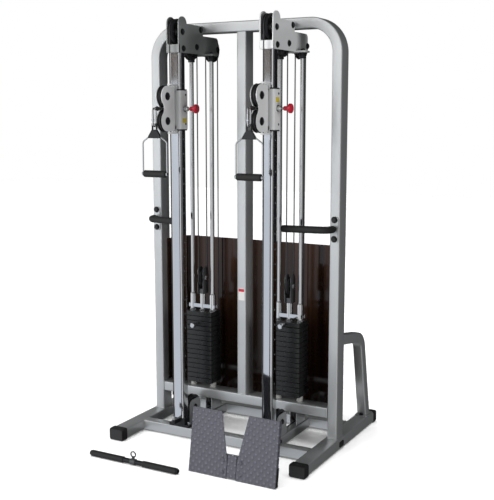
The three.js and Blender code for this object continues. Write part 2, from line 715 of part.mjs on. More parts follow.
// The picked plates with the stem, the guide yoke and the floating pulley's cheeks.
function liftedWeights(count) {
  const top = STACK_BASE + PLATE_COUNT * PLATE_THICK;
  const low = top - count * PLATE_THICK + GAP;
  const bushR = 16;
  const bushTop = 708;
  const yokeHalfX = 78;
  const yokeHalfY = 14;
  const cheekIn = 14;
  const cheekOut = 18;
  const cheekHalf = 27;
  const cheekLow = 706;
  const cheekTop = 850;
  const { y, z } = FLOAT_PULLEY;
  const cheek = roundedRect(-cheekHalf, cheekHalf, cheekLow, cheekTop, 20);
  const parts = [
    ...plateBlock(low, count),
    rodZ(STEM_R, 0, 0, STEM_BOTTOM, top),
    rodZ(bushR, 0, 0, top - 1, cheekLow + 4),
    box(-yokeHalfX, yokeHalfX, -yokeHalfY, yokeHalfY, 632, 652),
    box(-cheekOut, cheekOut, -16, 16, cheekLow, cheekLow + 26),
    slabX(cheek, cheekIn, cheekOut),
    slabX(cheek, -cheekOut, -cheekIn),
    rodX(SHAFT_R, -cheekOut, cheekOut, y, z),
    rodX(SHAFT_R + 4, cheekOut - 1, cheekOut + 7, y, z, 6),
    rodX(SHAFT_R + 4, -cheekOut - 7, -cheekOut + 1, y, z, 6),
  ];
  for (const side of [-1, 1]) parts.push(rodZ(bushR + 2, side * ROD_OFFSET, 0, top - 1, bushTop));
  const pinHole = rodY(SELECTOR_R + 0.8, 0, -PLATE_HALF_Y - 5, 5, selectorZ(count));
  return shape(parts, [...rodHoles(low, bushTop, ROD_CLEAR), pinHole]);
}
const SELECTOR_R = 4.5;

function selectorZ(count) {
  return STACK_BASE + (PLATE_COUNT - count + 0.5) * PLATE_THICK;
}

function selectorPin() {
  return shape([
    rodY(SELECTOR_R, 0, -PLATE_HALF_Y - 40, 2, 0),
    rodY(8, 0, -PLATE_HALF_Y - 38, -PLATE_HALF_Y - 8, 0),
    rodY(13, 0, -PLATE_HALF_Y - 59, -PLATE_HALF_Y - 34, 0, 14),
  ]);
}

// ---- cable and loose pieces ---------------------------------------------------------------------
// Points round a pulley in a station's plane, from one angle to another in degrees.
function wrap(pulleyAt, from, to) {
  const steps = Math.max(2, Math.round(Math.abs(to - from) / 22));
  const points = [];
  for (let i = 0; i <= steps; i += 1) {
    const angle = THREE.MathUtils.degToRad(from + ((to - from) * i) / steps);
    const y = pulleyAt.y + pulleyAt.r * Math.cos(angle);
    const z = pulleyAt.z + pulleyAt.r * Math.sin(angle);
    points.push(new THREE.Vector3(0, y, z));
  }
  return points;
}

// One cable: up the column's front, over the top pulleys, down to the floating pulley and back up,
// down the rear, under the base pulleys and up behind the column to the carriage.
function stationCable() {
  const crossAngle = 63.6; // where the run leaves the front pulley and meets the middle one
  const lowEnd = COLUMN_BASE + GAP;
  const carriageEnd = SLEEVE_LOW + 14;
  const points = [
    new THREE.Vector3(0, SWIVEL_Y, lowEnd),
    ...wrap(TOP_FRONT_PULLEY, 180, crossAngle),
    ...wrap(TOP_MID_PULLEY, crossAngle, 0),
    ...wrap(FLOAT_PULLEY, 180, 360),
    ...wrap(TOP_REAR_PULLEY, 180, 0),
    ...wrap(BASE_REAR_PULLEY, 0, -90),
    ...wrap(BASE_FRONT_PULLEY, -90, -180),
    new THREE.Vector3(0, CABLE_BACK_Y, carriageEnd),
  ];
  return roundBar(points, CABLE_R);
}

// A padded grab handle on an upright's front face: wall plate, two bolts and the bent bar; side is ±1.
function grabHandle(side) {
  const barZ = 1095;
  const barR = 17;
  const front = -TUBE_D / 2 - GAP;
  const inward = -side;
  const line = bentLine([vec2(0, front - 2), vec2(0, -112), vec2(inward * 228, -150)], 45, 6);
  const points = line.map((p) => new THREE.Vector3(p.x, p.y, barZ));
  const parts = [
    box(-18, 18, front - 6, front, 1030, 1152),
    roundBar(points, barR, 12),
    rodY(11, 0, front - 14, front - 5, 1138, 6),
    rodY(11, 0, front - 14, front - 5, 1046, 6),
  ];
  return shape(parts);
}

// A straight bar attachment lying on the floor, its swivel eye standing up.
function straightBar() {
  const middle = (STRAIGHT_BAR_LEFT + STRAIGHT_BAR_RIGHT) / 2;
  const y = STRAIGHT_BAR_Y;
  const z = STRAIGHT_BAR_R;
  const eyeZ = z + 36;
  const eye = new THREE.TorusGeometry(13, 3.5, 6, 12).rotateX(Math.PI / 2).translate(middle, y, eyeZ);
  return shape([
    rodX(12, STRAIGHT_BAR_LEFT, STRAIGHT_BAR_RIGHT, y, z, 16),
    rodX(STRAIGHT_BAR_R, STRAIGHT_BAR_LEFT + 8, middle - 55, y, z, 16),
    rodX(STRAIGHT_BAR_R, middle + 55, STRAIGHT_BAR_RIGHT - 8, y, z, 16),
    rodX(STRAIGHT_BAR_R, middle - 14, middle + 14, y, z, 16),
    rodZ(7, middle, y, z, eyeZ - 11),
    eye,
  ]);
}

// ---- assembly -----------------------------------------------------------------------------------
node("arch_frame", archFrame(), SILVER);
node("centre_frame", centreFrame(), SILVER);
node("front_floor_member", frontMember(), SILVER);
node("rear_floor_member", floorMember(REAR_MEMBER_Y), SILVER);
node("rear_shroud", rearShroud(), SMOKE);

const stations = [
  { name: "left", side: -1, picked: PICKED_LEFT },
  { name: "right", side: 1, picked: PICKED_RIGHT },
];

for (const { name, side, picked } of stations) {
  const x = side * STATION_X;
  const uprightX = side * UPRIGHT_X;
  node(`${name}_foot`, foot(), SILVER, uprightX);
  node(`${name}_rear_brace`, rearBrace(), SILVER, uprightX);
  node(`${name}_grab_handle`, grabHandle(side), RUBBER, uprightX);
  node(`${name}_base_rail`, baseRail(), SILVER, x);
  node(`${name}_column`, column(), CHROME, x);
  node(`${name}_top_bracket`, topBracket(), BLACK_STEEL, x);
  node(`${name}_outer_guide_rod`, guideRod(), CHROME, x + side * ROD_OFFSET);
  node(`${name}_inner_guide_rod`, guideRod(), CHROME, x - side * ROD_OFFSET);

  const wheels = {
    top_front: TOP_FRONT_PULLEY,
    top_middle: TOP_MID_PULLEY,
    top_rear: TOP_REAR_PULLEY,
    base_front: BASE_FRONT_PULLEY,
    base_rear: BASE_REAR_PULLEY,
  };
  for (const [place, { y, z }] of Object.entries(wheels)) {
    node(`${name}_${place}_pulley`, pulley(BIG_RIM, BIG_ROOT, BIG_HALF), NYLON, x, y, z);
  }
  const floating = pulley(FLOAT_RIM, FLOAT_ROOT, FLOAT_HALF);
  node(`${name}_floating_pulley`, floating, NYLON, x, FLOAT_PULLEY.y, FLOAT_PULLEY.z);

  node(`${name}_carriage`, carriage(), SILVER, x);
  node(`${name}_pull_pin`, pullPin(), RED, x);
  node(`${name}_pulley_head`, pulleyHead(), SILVER, x);
  for (const [place, rise] of [["upper", HEAD_AXLE_RISE], ["lower", -HEAD_AXLE_RISE]]) {
    const wheel = pulley(HEAD_RIM, HEAD_ROOT, HEAD_HALF);
    node(`${name}_${place}_head_pulley`, wheel, NYLON, x, HEAD_AXLE_Y, CARRIAGE_Z + rise);
  }
  node(`${name}_cable_end`, cableEnd(), CHROME, x);
  node(`${name}_stirrup_handle`, stirrup(), RUBBER, x);

  node(`${name}_resting_plates`, restingPlates(PLATE_COUNT - picked), IRON, x);
  node(`${name}_lifted_weights`, liftedWeights(picked), CHROME, x);
  node(`${name}_selector_pin`, selectorPin(), CHROME, x, 0, selectorZ(picked));
  node(`${name}_cable`, stationCable(), CABLE, x);
}

for (const { name, side } of stations) {
  const plate = node(`${name}_footplate`, footplate(side), TREAD, STATION_X, FOOTPLATE_Y);
  plate.rotation.x = -PLATE_LEAN;
}
node("footplate_support", footplateSupport(), TREAD, STATION_X);
node("straight_bar", straightBar(), RUBBER);

export default machine;
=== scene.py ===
# A dual-column cable crossover machine, dressed over its CAD frame. Metres, +X right, +Y back, +Z up.
import math

import bmesh
import bpy
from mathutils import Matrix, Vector


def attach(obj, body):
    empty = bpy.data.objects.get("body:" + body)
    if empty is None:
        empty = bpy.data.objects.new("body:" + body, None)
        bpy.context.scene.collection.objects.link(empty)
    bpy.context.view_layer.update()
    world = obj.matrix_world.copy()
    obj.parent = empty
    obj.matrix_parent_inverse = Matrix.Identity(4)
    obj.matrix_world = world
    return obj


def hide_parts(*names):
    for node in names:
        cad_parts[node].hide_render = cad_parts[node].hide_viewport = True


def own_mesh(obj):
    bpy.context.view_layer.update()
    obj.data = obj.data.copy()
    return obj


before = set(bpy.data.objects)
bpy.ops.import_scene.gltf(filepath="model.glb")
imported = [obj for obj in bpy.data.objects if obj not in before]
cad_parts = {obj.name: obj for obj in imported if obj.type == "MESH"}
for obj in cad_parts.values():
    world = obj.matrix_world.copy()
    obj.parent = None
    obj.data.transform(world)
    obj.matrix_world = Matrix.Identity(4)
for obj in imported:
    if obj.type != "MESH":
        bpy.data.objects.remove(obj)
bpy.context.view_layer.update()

# ---- layout, from the CAD model ------------------------------------------------------------------
SHIFT = 0.100  # the arch's plane, behind the origin
STATION_X = 0.252
UPRIGHT_X = 0.505
TUBE_W = 0.051
TUBE_D = 0.080
ARCH_TOP = 2.080
FOOT_TOP = 0.057
COLUMN_Y = -0.222
CARRIAGE_Z = 1.6575
SWIVEL_Y = -0.288
HEAD_AXLE_Y = -0.338
HEAD_RISE = 0.058
FLOAT_Z = 0.790
FLOAT_R = 0.042
CABLE_R = 0.003
PLATE = 0.0254
STACK_BASE = 0.238
PLATES = 15
ROD_OFFSET = 0.059
FLOOR_TUBE_Z = FOOT_TOP - TUBE_W / 2
FRONT_MEMBER_Y = -0.2215
CROSSBAR_Z = 0.1835
SHROUD_TOP = 0.980
SHROUD_LOW = 0.110
SHROUD_NOTCH = 0.212  # over the lower crossbar
HOOK_Y = -0.424
STIRRUP_PIVOT_Z = 1.586
GRIP_Z = 1.353
FOOTPLATE_Y = -0.600
LEAN = math.atan2(47, 298)
WRAP = 0.059  # a cable's middle, from the centre of its pulley
PICKED = {"left": 3, "right": 1}
SIDES = {"left": -1, "right": 1}
WHEELS = {
    "top_front": (-0.230, 2.022),
    "top_middle": (-0.101, 1.958),
    "top_rear": (0.101, 1.958),
    "base_front": (-0.118, 0.130),
    "base_rear": (0.101, 0.130),
}
TAU = 2 * math.pi


# ---- camera and light ----------------------------------------------------------------------------
def placed(name, data):
    """Makes an object of some data and puts it in the scene."""
    obj = bpy.data.objects.new(name, data)
    bpy.context.scene.collection.objects.link(obj)
    return obj


def camera():
    data = bpy.data.cameras.new("camera")
    data.sensor_width = 36
    data.lens = 64.56
    data.clip_end = 100
    obj = placed("camera", data)
    obj.location = (2.1546, -3.9397 + SHIFT, 1.6189)
    obj.rotation_euler = (math.radians(81.56), 0, math.radians(28.56))
    bpy.context.scene.camera = obj


def area_light(name, place, size, power):
    """A rectangular light turned to the middle of the machine."""
    data = bpy.data.lights.new(name, "AREA")
    data.shape = "RECTANGLE"
    data.size, data.size_y = size
    data.energy = power
    obj = placed(name, data)
    obj.location = place
    obj.rotation_mode = "QUATERNION"
    obj.rotation_quaternion = (Vector((0, 0, 1)) - Vector(place)).to_track_quat("-Z", "Y")
    return obj


def card(name, azimuth, distance, width, low, high, color):
    """An upright panel that only mirror-like surfaces see, facing the machine."""
    angle = math.radians(azimuth)
    centre = Vector((distance * math.cos(angle), distance * math.sin(angle) + SHIFT, 0))
    across = Vector((-math.sin(angle), math.cos(angle), 0)) * width / 2
    up = Vector((0, 0, 1))
    left, right = centre - across, centre + across
    corners = [left + up * low, right + up * low, right + up * high, left + up * high]
    mesh = bpy.data.meshes.new(name)
    mesh.from_pydata(corners, [], [(0, 1, 2, 3)])
    mat = bpy.data.materials.new(name)
    mat.use_nodes = True
    shader = mat.node_tree.nodes["Principled BSDF"]
    shader.inputs["Base Color"].default_value = (0, 0, 0, 1)
    shader.inputs["Specular IOR Level"].default_value = 0
    shader.inputs["Emission Color"].default_value = (*color, 1)
    shader.inputs["Emission Strength"].default_value = 1
    mesh.materials.append(mat)
    obj = placed(name, mesh)
    obj.visible_camera = False
    obj.visible_diffuse = False
    obj.visible_shadow = False
    obj.visible_transmission = False


def node(tree, kind, operation=None, **inputs):
    """Adds a shader node. A named input takes a value, or the socket it is linked from."""
    made = tree.nodes.new("ShaderNode" + kind)
    if operation:
        made.operation = operation
    for name, value in inputs.items():
        socket = made.inputs[name.replace("_", " ")]
        if isinstance(value, bpy.types.NodeSocket):
            tree.links.new(value, socket)
        else:
            socket.default_value = value
    return made


def graded(tree, value, low, high, start=0, end=1):
    """A value that runs from start to end, mapped to run from low to high."""
    return node(tree, "MapRange", Value=value, From_Min=start, From_Max=end, To_Min=low, To_Max=high)


def object_place(tree):
    return node(tree, "TexCoord").outputs["Object"]


def height_of(tree, place):
    return node(tree, "SeparateXYZ", Vector=place).outputs["Z"]


def dimmed(tree, factor):
    """Multiplies a finish's base colour by a factor."""
    base = tree.nodes["Principled BSDF"].inputs["Base Color"]
    shade = node(tree, "VectorMath", "SCALE", Vector=base.links[0].from_socket, Scale=factor)
    tree.links.new(shade.outputs["Vector"], base)


def surroundings():
    """A white backdrop for the camera. The machine sees a room that is bright at its left front, dim
    at its right and dim overhead."""
    world = bpy.data.worlds.new("studio")
    world.use_nodes = True
    tree = world.node_tree
    white = (1, 1, 1, 1)
    around = node(tree, "TexCoord").outputs["Generated"]
    facing = node(tree, "VectorMath", "DOT_PRODUCT", Vector=around)
    facing.inputs[1].default_value = Vector((-0.50, -0.80, 0.18)).normalized()
    level = graded(tree, facing.outputs["Value"], 0.03, 1, -0.52).outputs["Result"]
    overhead = graded(tree, height_of(tree, around), 1, 0.10, 0.30).outputs["Result"]
    both = node(tree, "Math", "MULTIPLY", Value=level)
    tree.links.new(overhead, both.inputs[1])
    room = tree.nodes["Background"]
    room.inputs["Color"].default_value = white
    tree.links.new(both.outputs["Value"], room.inputs["Strength"])
    backdrop = node(tree, "Background", Color=white, Strength=1.0)
    mix = node(tree, "MixShader", Fac=node(tree, "LightPath").outputs["Is Camera Ray"])
    tree.links.new(room.outputs["Background"], mix.inputs[1])
    tree.links.new(backdrop.outputs["Background"], mix.inputs[2])
    tree.links.new(mix.outputs["Shader"], tree.nodes["World Output"].inputs["Surface"])
    bpy.context.scene.world = world


def studio():
    surroundings()
    bpy.context.scene.view_settings.view_transform = "Standard"
    area_light("key", (-2.4, -4.6, 2.3), (2.4, 2.4), 135)
    side = area_light("side", (4.6, -1.0, 1.4), (1.2, 2.6), 100)
    rear = area_light("rear", (-2.8, 4.6, 2.4), (2.4, 2.4), 90)
    for light in (side, rear):
        light.visible_glossy = False
    card("pale card", 243, 4.2, 2.6, -3.0, 1.93, (0.60, 0.64, 0.71))
    card("brown card", 243, 4.2, 2.6, 1.93, 3.2, (0.075, 0.055, 0.045))
    card("dark card right", 58, 4.0, 1.5, -3.0, 4.0, (0.012, 0.012, 0.014))
    card("grey card", 318, 4.0, 0.8, -3.0, 4.0, (0.10, 0.10, 0.11))
    card("dark card left", 175, 4.0, 0.7, -3.0, 4.0, (0.06, 0.06, 0.065))


# ---- materials -----------------------------------------------------------------------------------
SLOT_OF = {}


def surface(name, slot, color, metallic=0.0, roughness=0.5, tint=0.06, tint_scale=9.0, grain=420.0, bump=0.08,
            rough_span=0.06, stretch=(1, 1, 1), **sockets):
    """A procedural finish: slow colour drift, fine grain in the bump and a roughness that wanders.
    The slot is the record's material for the pieces that wear it."""
    mat = bpy.data.materials.new(name)
    SLOT_OF[mat.name] = slot
    mat.use_nodes = True
    tree = mat.node_tree
    shader = tree.nodes["Principled BSDF"]
    shader.inputs["Metallic"].default_value = metallic
    for socket, value in sockets.items():
        shader.inputs[socket.replace("_", " ")].default_value = value
    place = node(tree, "Mapping", Vector=object_place(tree), Scale=stretch).outputs["Vector"]

    drift = node(tree, "TexNoise", Vector=place, Scale=tint_scale, Detail=5).outputs["Fac"]
    shade = node(tree, "VectorMath", "SCALE", Vector=color)
    tree.links.new(graded(tree, drift, 1 - tint, 1 + tint).outputs["Result"], shade.inputs["Scale"])
    tree.links.new(shade.outputs["Vector"], shader.inputs["Base Color"])
    gloss = graded(tree, drift, max(roughness - rough_span, 0.02), roughness + rough_span)
    tree.links.new(gloss.outputs["Result"], shader.inputs["Roughness"])

    fine = node(tree, "TexNoise", Vector=place, Scale=grain, Detail=3)
    relief = node(tree, "Bump", Height=fine.outputs["Fac"], Strength=bump, Distance=0.0006)
    tree.links.new(relief.outputs["Normal"], shader.inputs["Normal"])
    return mat


def smoked_sheet():
    """A brown sheet with streaks from top to bottom painted as reflections, and painted shade that darkens it
    towards its foot.
    """
    # The strong colour drift, stretched upright, paints reflections as streaks.
    mat = surface("smoked sheet", "smoke_plastic", (0.044, 0.020, 0.011), 0.0, 0.12, tint=1.4, tint_scale=15,
                  grain=40, bump=0.06, stretch=(2.0, 1, 0.04), rough_span=0.05)
    tree = mat.node_tree
    # Painted shade: the colour darkens towards the sheet's foot.
    dimmed(tree, graded(tree, height_of(tree, object_place(tree)), 0.35, 1, 0.25, 0.95).outputs["Result"])
    return mat


def tread_plate():
    """Grey paint over a plate pressed with staggered round dimples, with painted shade in the colour: lighter
    on the domes, darker between them.
    """
    mat = surface("tread plate", "tread_plate", (0.135, 0.135, 0.165), 0.25, 0.42, bump=0.12)
    tree = mat.node_tree
    flat = node(tree, "Mapping", Vector=object_place(tree), Rotation=(math.pi / 2, 0, 0))
    turned = node(tree, "Mapping", Vector=flat.outputs["Vector"], Rotation=(0, 0, math.pi / 4))
    dots = node(tree, "TexVoronoi", Vector=turned.outputs["Vector"], Scale=42, Randomness=0)
    dots.voronoi_dimensions = "2D"
    ramp = graded(tree, dots.outputs["Distance"], 1, 0, 0.08, 0.42)
    ramp.interpolation_type = "SMOOTHSTEP"
    dome = ramp.outputs["Result"]
    normal = tree.nodes["Principled BSDF"].inputs["Normal"]
    pressed = node(tree, "Bump", Height=dome, Strength=1, Distance=0.004, Normal=normal.links[0].from_socket)
    tree.links.new(pressed.outputs["Normal"], normal)
    # Painted highlight and shade: the colour follows the dimples' height, lighter on the domes, darker on the
    # flats between them.
    dimmed(tree, graded(tree, dome, 0.80, 1.35).outputs["Result"])
    return mat


SILVER = surface("silver powder coat", "silver_paint", (0.53, 0.545, 0.55), 0.70, 0.33, tint=0.04, grain=900,
                 bump=0.10)
PALE = surface("pale grey coat", "silver_paint", (0.72, 0.73, 0.735), 0.08, 0.34, tint=0.04, grain=900)
# One bracket paint in two copies: the left one darker as painted shade, the right one paler as painted light.
BRACKET_LIT_AND_SHADED = {
    "left": surface("bracket coat in painted shade", "bracket_paint", (0.24, 0.25, 0.25), 0.30, 0.36, grain=900,
                    bump=0.10),
    "right": surface("bracket coat in painted light", "bracket_paint", (0.66, 0.67, 0.675), 0.12, 0.36, grain=900,
                     bump=0.10),
}
DARK_PAINT = surface("dark grey coat", "bracket_paint", (0.075, 0.078, 0.082), 0.40, 0.36, tint=0.10,
                     grain=700,
                     bump=0.10)
CHROME = surface("chrome plate", "chrome", (0.76, 0.77, 0.78), 1.0, 0.08, tint=0.02, grain=700, bump=0.002,
                 rough_span=0.02)
STEEL = surface("zinc steel", "chrome", (0.62, 0.63, 0.64), 1.0, 0.26, tint=0.08, grain=500, bump=0.06)
BLACK_STEEL = surface("black oxide steel", "bracket_paint", (0.018, 0.019, 0.021), 0.5, 0.38, tint=0.15,
                      grain=500,
                      bump=0.1)
IRON = surface("enamelled cast iron", "cast_iron", (0.020, 0.021, 0.022), 0.30, 0.28, tint=0.20,
               tint_scale=26,
               grain=260, bump=0.30)
NYLON = surface("moulded nylon", "nylon", (0.014, 0.014, 0.016), 0.0, 0.36, tint=0.12, grain=300, bump=0.06)
RUBBER = surface("black rubber", "rubber", (0.016, 0.016, 0.017), 0.0, 0.62, tint=0.15, grain=700, bump=0.25)
FOAM = surface("foam sleeve", "rubber", (0.013, 0.013, 0.014), 0.0, 0.72, tint=0.15, grain=1100, bump=0.5)
SMOKE = smoked_sheet()
RED = surface("red knob plastic", "red_plastic", (0.56, 0.010, 0.035), 0.0, 0.30, tint=0.05, grain=300,
              bump=0.03)
CUSHION = surface("pale cushion rubber", "rubber", (0.42, 0.42, 0.40), 0.0, 0.55, tint=0.08, grain=500,
                  bump=0.15)
SHEATH = surface("cable sheath", "cable_sheath", (0.030, 0.031, 0.034), 0.0, 0.30, tint=0.10, grain=900,
                 bump=0.2)
YELLOW = surface("yellow label", None, (0.62, 0.50, 0.05), 0.0, 0.42, tint=0.04, grain=600, bump=0.03)
WHITE = surface("white label", None, (0.72, 0.72, 0.70), 0.0, 0.45, tint=0.03, grain=600, bump=0.03)
TREAD = tread_plate()


# ---- mesh making ---------------------------------------------------------------------------------
def circle(radius, count=24):
    return [(radius * math.cos(TAU * i / count), radius * math.sin(TAU * i / count)) for i in range(count)]


def rounded_rect(half_a, half_b, radius, steps=4):
    """A rectangle's outline with round corners, counter-clockwise, about the origin."""
    points = []
    for quarter, (sa, sb) in enumerate(((1, 1), (-1, 1), (-1, -1), (1, -1))):
        for k in range(steps + 1):
            angle = (quarter + k / steps) * math.pi / 2
            a = sa * (half_a - radius) + radius * math.cos(angle)
            b = sb * (half_b - radius) + radius * math.sin(angle)
            points.append((a, b))
    return points


def moved(points, da, db):
    return [(a + da, b + db) for a, b in points]


def arc(centre, radius, start, end, steps=12):
    """Points on a circle, in degrees from the first axis towards the second."""
    out = []
    for i in range(steps + 1):
        angle = math.radians(start + (end - start) * i / steps)
        out.append((centre[0] + radius * math.cos(angle), centre[1] + radius * math.sin(angle)))
    return out


def bent(corners, radius, steps=12):
    """A polyline in space with its inner corners rounded."""
    corners = [Vector(c) for c in corners]
    points = [corners[0]]
    for before, corner, after in zip(corners, corners[1:], corners[2:]):
        back = (before - corner).normalized()
        ahead = (after - corner).normalized()
        half = back.angle(ahead) / 2
        centre = corner + (back + ahead).normalized() * radius / math.sin(half)
        start = corner + back * radius / math.tan(half) - centre
        end = corner + ahead * radius / math.tan(half) - centre
        points += [centre + start.slerp(end, k / steps).normalized() * radius for k in range(steps + 1)]
    return points + [corners[-1]]


def span(middle, way, near, far):
    """The lower and upper of two levels, near and far from a middle in one direction."""
    return sorted((middle + way * near, middle + way * far))


def beside(axis, across):
    """The point where an axis crosses zero, from its place on the other two in X, Y, Z order."""
    return {"X": (0, *across), "Y": (across[0], 0, across[1]), "Z": (*across, 0)}[axis]


class Shape:
    """Collects closed solids, drawn with the arch's plane at y = 0, then becomes one object."""

    def __init__(self):
        self.bm = bmesh.new()

    def _add(self, rings, closed=False, caps=True):
        made = [[self.bm.verts.new(p) for p in ring] for ring in rings]
        pairs = list(zip(made, made[1:]))
        if closed:
            pairs.append((made[-1], made[0]))
        for low, high in pairs:
            for i in range(len(low)):
                j = (i + 1) % len(low)
                self.bm.faces.new((low[i], low[j], high[j], high[i]))
        if caps and not closed:
            self.bm.faces.new(made[0][::-1])
            self.bm.faces.new(made[-1])
        return self

    def prism(self, outline, axis, low, high):
        """An outline across an axis: (y, z) for X, (x, z) for Y, (x, y) for Z."""
        def at(a, b, c):
            return {"X": (c, a, b), "Y": (a, c, b), "Z": (a, b, c)}[axis]
        return self._add([[at(a, b, low) for a, b in outline], [at(a, b, high) for a, b in outline]])

    def box(self, low, high):
        x0, y0, z0 = low
        x1, y1, z1 = high
        return self.prism([(x0, y0), (x1, y0), (x1, y1), (x0, y1)], "Z", z0, z1)

    def ring(self, outer, inner, low, high):
        """A hollow collar about Z, between an outer and an inner outline of as many points."""
        rings = [
            [(a, b, low) for a, b in outer],
            [(a, b, high) for a, b in outer],
            [(a, b, high) for a, b in inner],
            [(a, b, low) for a, b in inner],
        ]
        return self._add(rings, closed=True)

    def sweep(self, points, section, reference, closed=False):
        """A section carried along points that lie in the plane across the reference direction."""
        points = [Vector(p) for p in points]
        ref = Vector(reference)
        rings = []
        last = len(points) - 1
        for i, point in enumerate(points):
            before = points[i - 1] if i or closed else point
            after = points[(i + 1) % len(points)] if i < last or closed else point
            into = (point - before).normalized() if before != point else (after - point).normalized()
            out = (after - point).normalized() if after != point else into
            tangent = (into + out).normalized()
            miter = 1 / max(into.dot(tangent), 0.3)
            side = ref.cross(tangent).normalized() * miter
            rings.append([point + ref * a + side * b for a, b in section])
        return self._add(rings, closed=closed)

    def lathe(self, profile, axis, centre, count=32):
        """(radius, height) pairs about an axis through a point. They start and end on the axis, or close."""
        cx, cy, cz = centre
        rings = []
        for radius, height in profile:
            ring = []
            for a, b in circle(max(radius, 1e-5), count):
                ring.append({
                    "X": (cx + height, cy + a, cz + b),
                    "Y": (cx + b, cy + height, cz + a),
                    "Z": (cx + a, cy + b, cz + height),
                }[axis])
            rings.append(ring)
        hollow = profile[0] == profile[-1]
        return self._add(rings[:-1] if hollow else rings, closed=hollow)

    def rod(self, radius, axis, low, high, across, count=24, edge=0.0008):
        """A round bar with eased ends, from low to high along an axis."""
        edge = min(edge, radius * 0.4, (high - low) * 0.4)
        profile = [(0, low), (radius - edge, low), (radius, low + edge)]
        profile += [(radius, high - edge), (radius - edge, high), (0, high)]
        return self.lathe(profile, axis, beside(axis, across), count)

    def bolt(self, axis, face, sign, across, radius=0.013, height=0.0075):
        """A hex head on a washer, standing out of a face along an axis."""
        self.rod(radius * 1.22, axis, *span(face, sign, 0, 0.0022), across, 28, 0.0006)
        foot = face + sign * 0.0018
        steps = [(1.0, 0.0), (1.0, 0.8), (0.86, 1.0)]
        profile = [(radius * r, foot + sign * height * h) for r, h in steps]
        profile = [(0, foot)] + profile + [(0, foot + sign * height)]
        return self.lathe(profile, axis, beside(axis, across), 6)

    def bolt_pair(self, x, reach, across, radius, height):
        """The heads at both ends of a bolt along X."""
        for way in (-1, 1):
            self.bolt("X", x + way * reach, way, across, radius, height)
        return self

    def plate_pair(self, outline, x, near, far):
        """A plate on each side of x."""
        for way in (-1, 1):
            self.prism(outline, "X", *span(x, way, near, far))
        return self

    def make(self, name, material, body, replaces=(), bevel=0.0, slot=None, sharp=32.0):
        """Makes the object, riding a body. Its slot, the material's own unless one is given and none if it is
        empty, is worked out but not given to the object.
        """
        name = name.replace(" ", "_")
        bm = self.bm
        bmesh.ops.translate(bm, verts=bm.verts, vec=(0, SHIFT, 0))
        bmesh.ops.remove_doubles(bm, verts=bm.verts, dist=1e-5)
        bmesh.ops.recalc_face_normals(bm, faces=bm.faces)
        limit = math.radians(sharp)
        for face in bm.faces:
            face.smooth = True
        if not bevel:
            for edge in bm.edges:
                edge.smooth = edge.calc_face_angle(0) < limit
        mesh = bpy.data.meshes.new(name)
        bm.to_mesh(mesh)
        bm.free()
        mesh.materials.append(material)
        obj = placed(name, mesh)
        if bevel:
            eased = obj.modifiers.new("eased edges", "BEVEL")
            eased.width = bevel
            eased.segments = 2
            eased.limit_method = "ANGLE"
            eased.angle_limit = limit
            eased.harden_normals = True
        if replaces:
            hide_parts(*replaces)
        slot = SLOT_OF[material.name] if slot is None else slot
        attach(obj, body)
        return obj


# ---- frame ---------------------------------------------------------------------------------------
def tube(points, half_a, half_b, reference, radius=0.006):
    return Shape().sweep(points, rounded_rect(half_a, half_b, radius), reference)


def arch():
    line = ARCH_TOP - TUBE_W / 2
    floor = FOOT_TOP + 0.0003
    corners = [(-UPRIGHT_X, 0, floor), (-UPRIGHT_X, 0, line), (UPRIGHT_X, 0, line), (UPRIGHT_X, 0, floor)]
    tube(bent(corners, 0.140, 20), TUBE_D / 2, TUBE_W / 2, (0, 1, 0)).make(
        "arch tube", SILVER, "frame", ["arch_frame"])


def weld(shape, outline, axis, level):
    """A bead run round an outline where two tubes meet."""
    points = [(level, a, b) if axis == "X" else (a, b, level) for a, b in outline]
    across = (1, 0, 0) if axis == "X" else (0, 0, 1)
    return shape.sweep(points, circle(0.0026, 8), across, closed=True)


def centre_frame():
    half = UPRIGHT_X - TUBE_W / 2 - 0.0003
    shape = tube([(-half, 0, CROSSBAR_Z), (half, 0, CROSSBAR_Z)], TUBE_D / 2, TUBE_W / 2, (0, 1, 0))
    shape.make("lower crossbar", SILVER, "frame", ["centre_frame"])
    post = tube([(0, 0, 0.209), (0, 0, ARCH_TOP - TUBE_W - 0.0003)], TUBE_D / 2, TUBE_W / 2, (0, 1, 0))
    post.make("centre upright", SILVER, "frame")
    beads = Shape()
    section = rounded_rect(TUBE_W / 2 + 0.001, TUBE_D / 2 + 0.001, 0.007, 3)
    weld(beads, section, "Z", 0.2105)
    for side in (-1, 1):
        weld(beads, moved(section, side * UPRIGHT_X, 0), "Z", FOOT_TOP + 0.0020)
    ends = moved(rounded_rect(TUBE_D / 2 + 0.001, TUBE_W / 2 + 0.001, 0.007, 3), 0, CROSSBAR_Z)
    for side in (-1, 1):
        weld(beads, ends, "X", side * (half - 0.0022))
    beads.make("weld beads", SILVER, "frame")
    face = -TUBE_D / 2
    label = Shape().box((-0.017, face - 0.0006, 0.700), (0.017, face + 0.0002, 0.760))
    label.make("plain label", WHITE, "frame", bevel=0.0002)
    stripe = Shape().box((-0.0155, face - 0.0009, 0.744), (0.0155, face - 0.0004, 0.7585))
    stripe.make("label stripe", RED, "frame", bevel=0.0001, slot="")


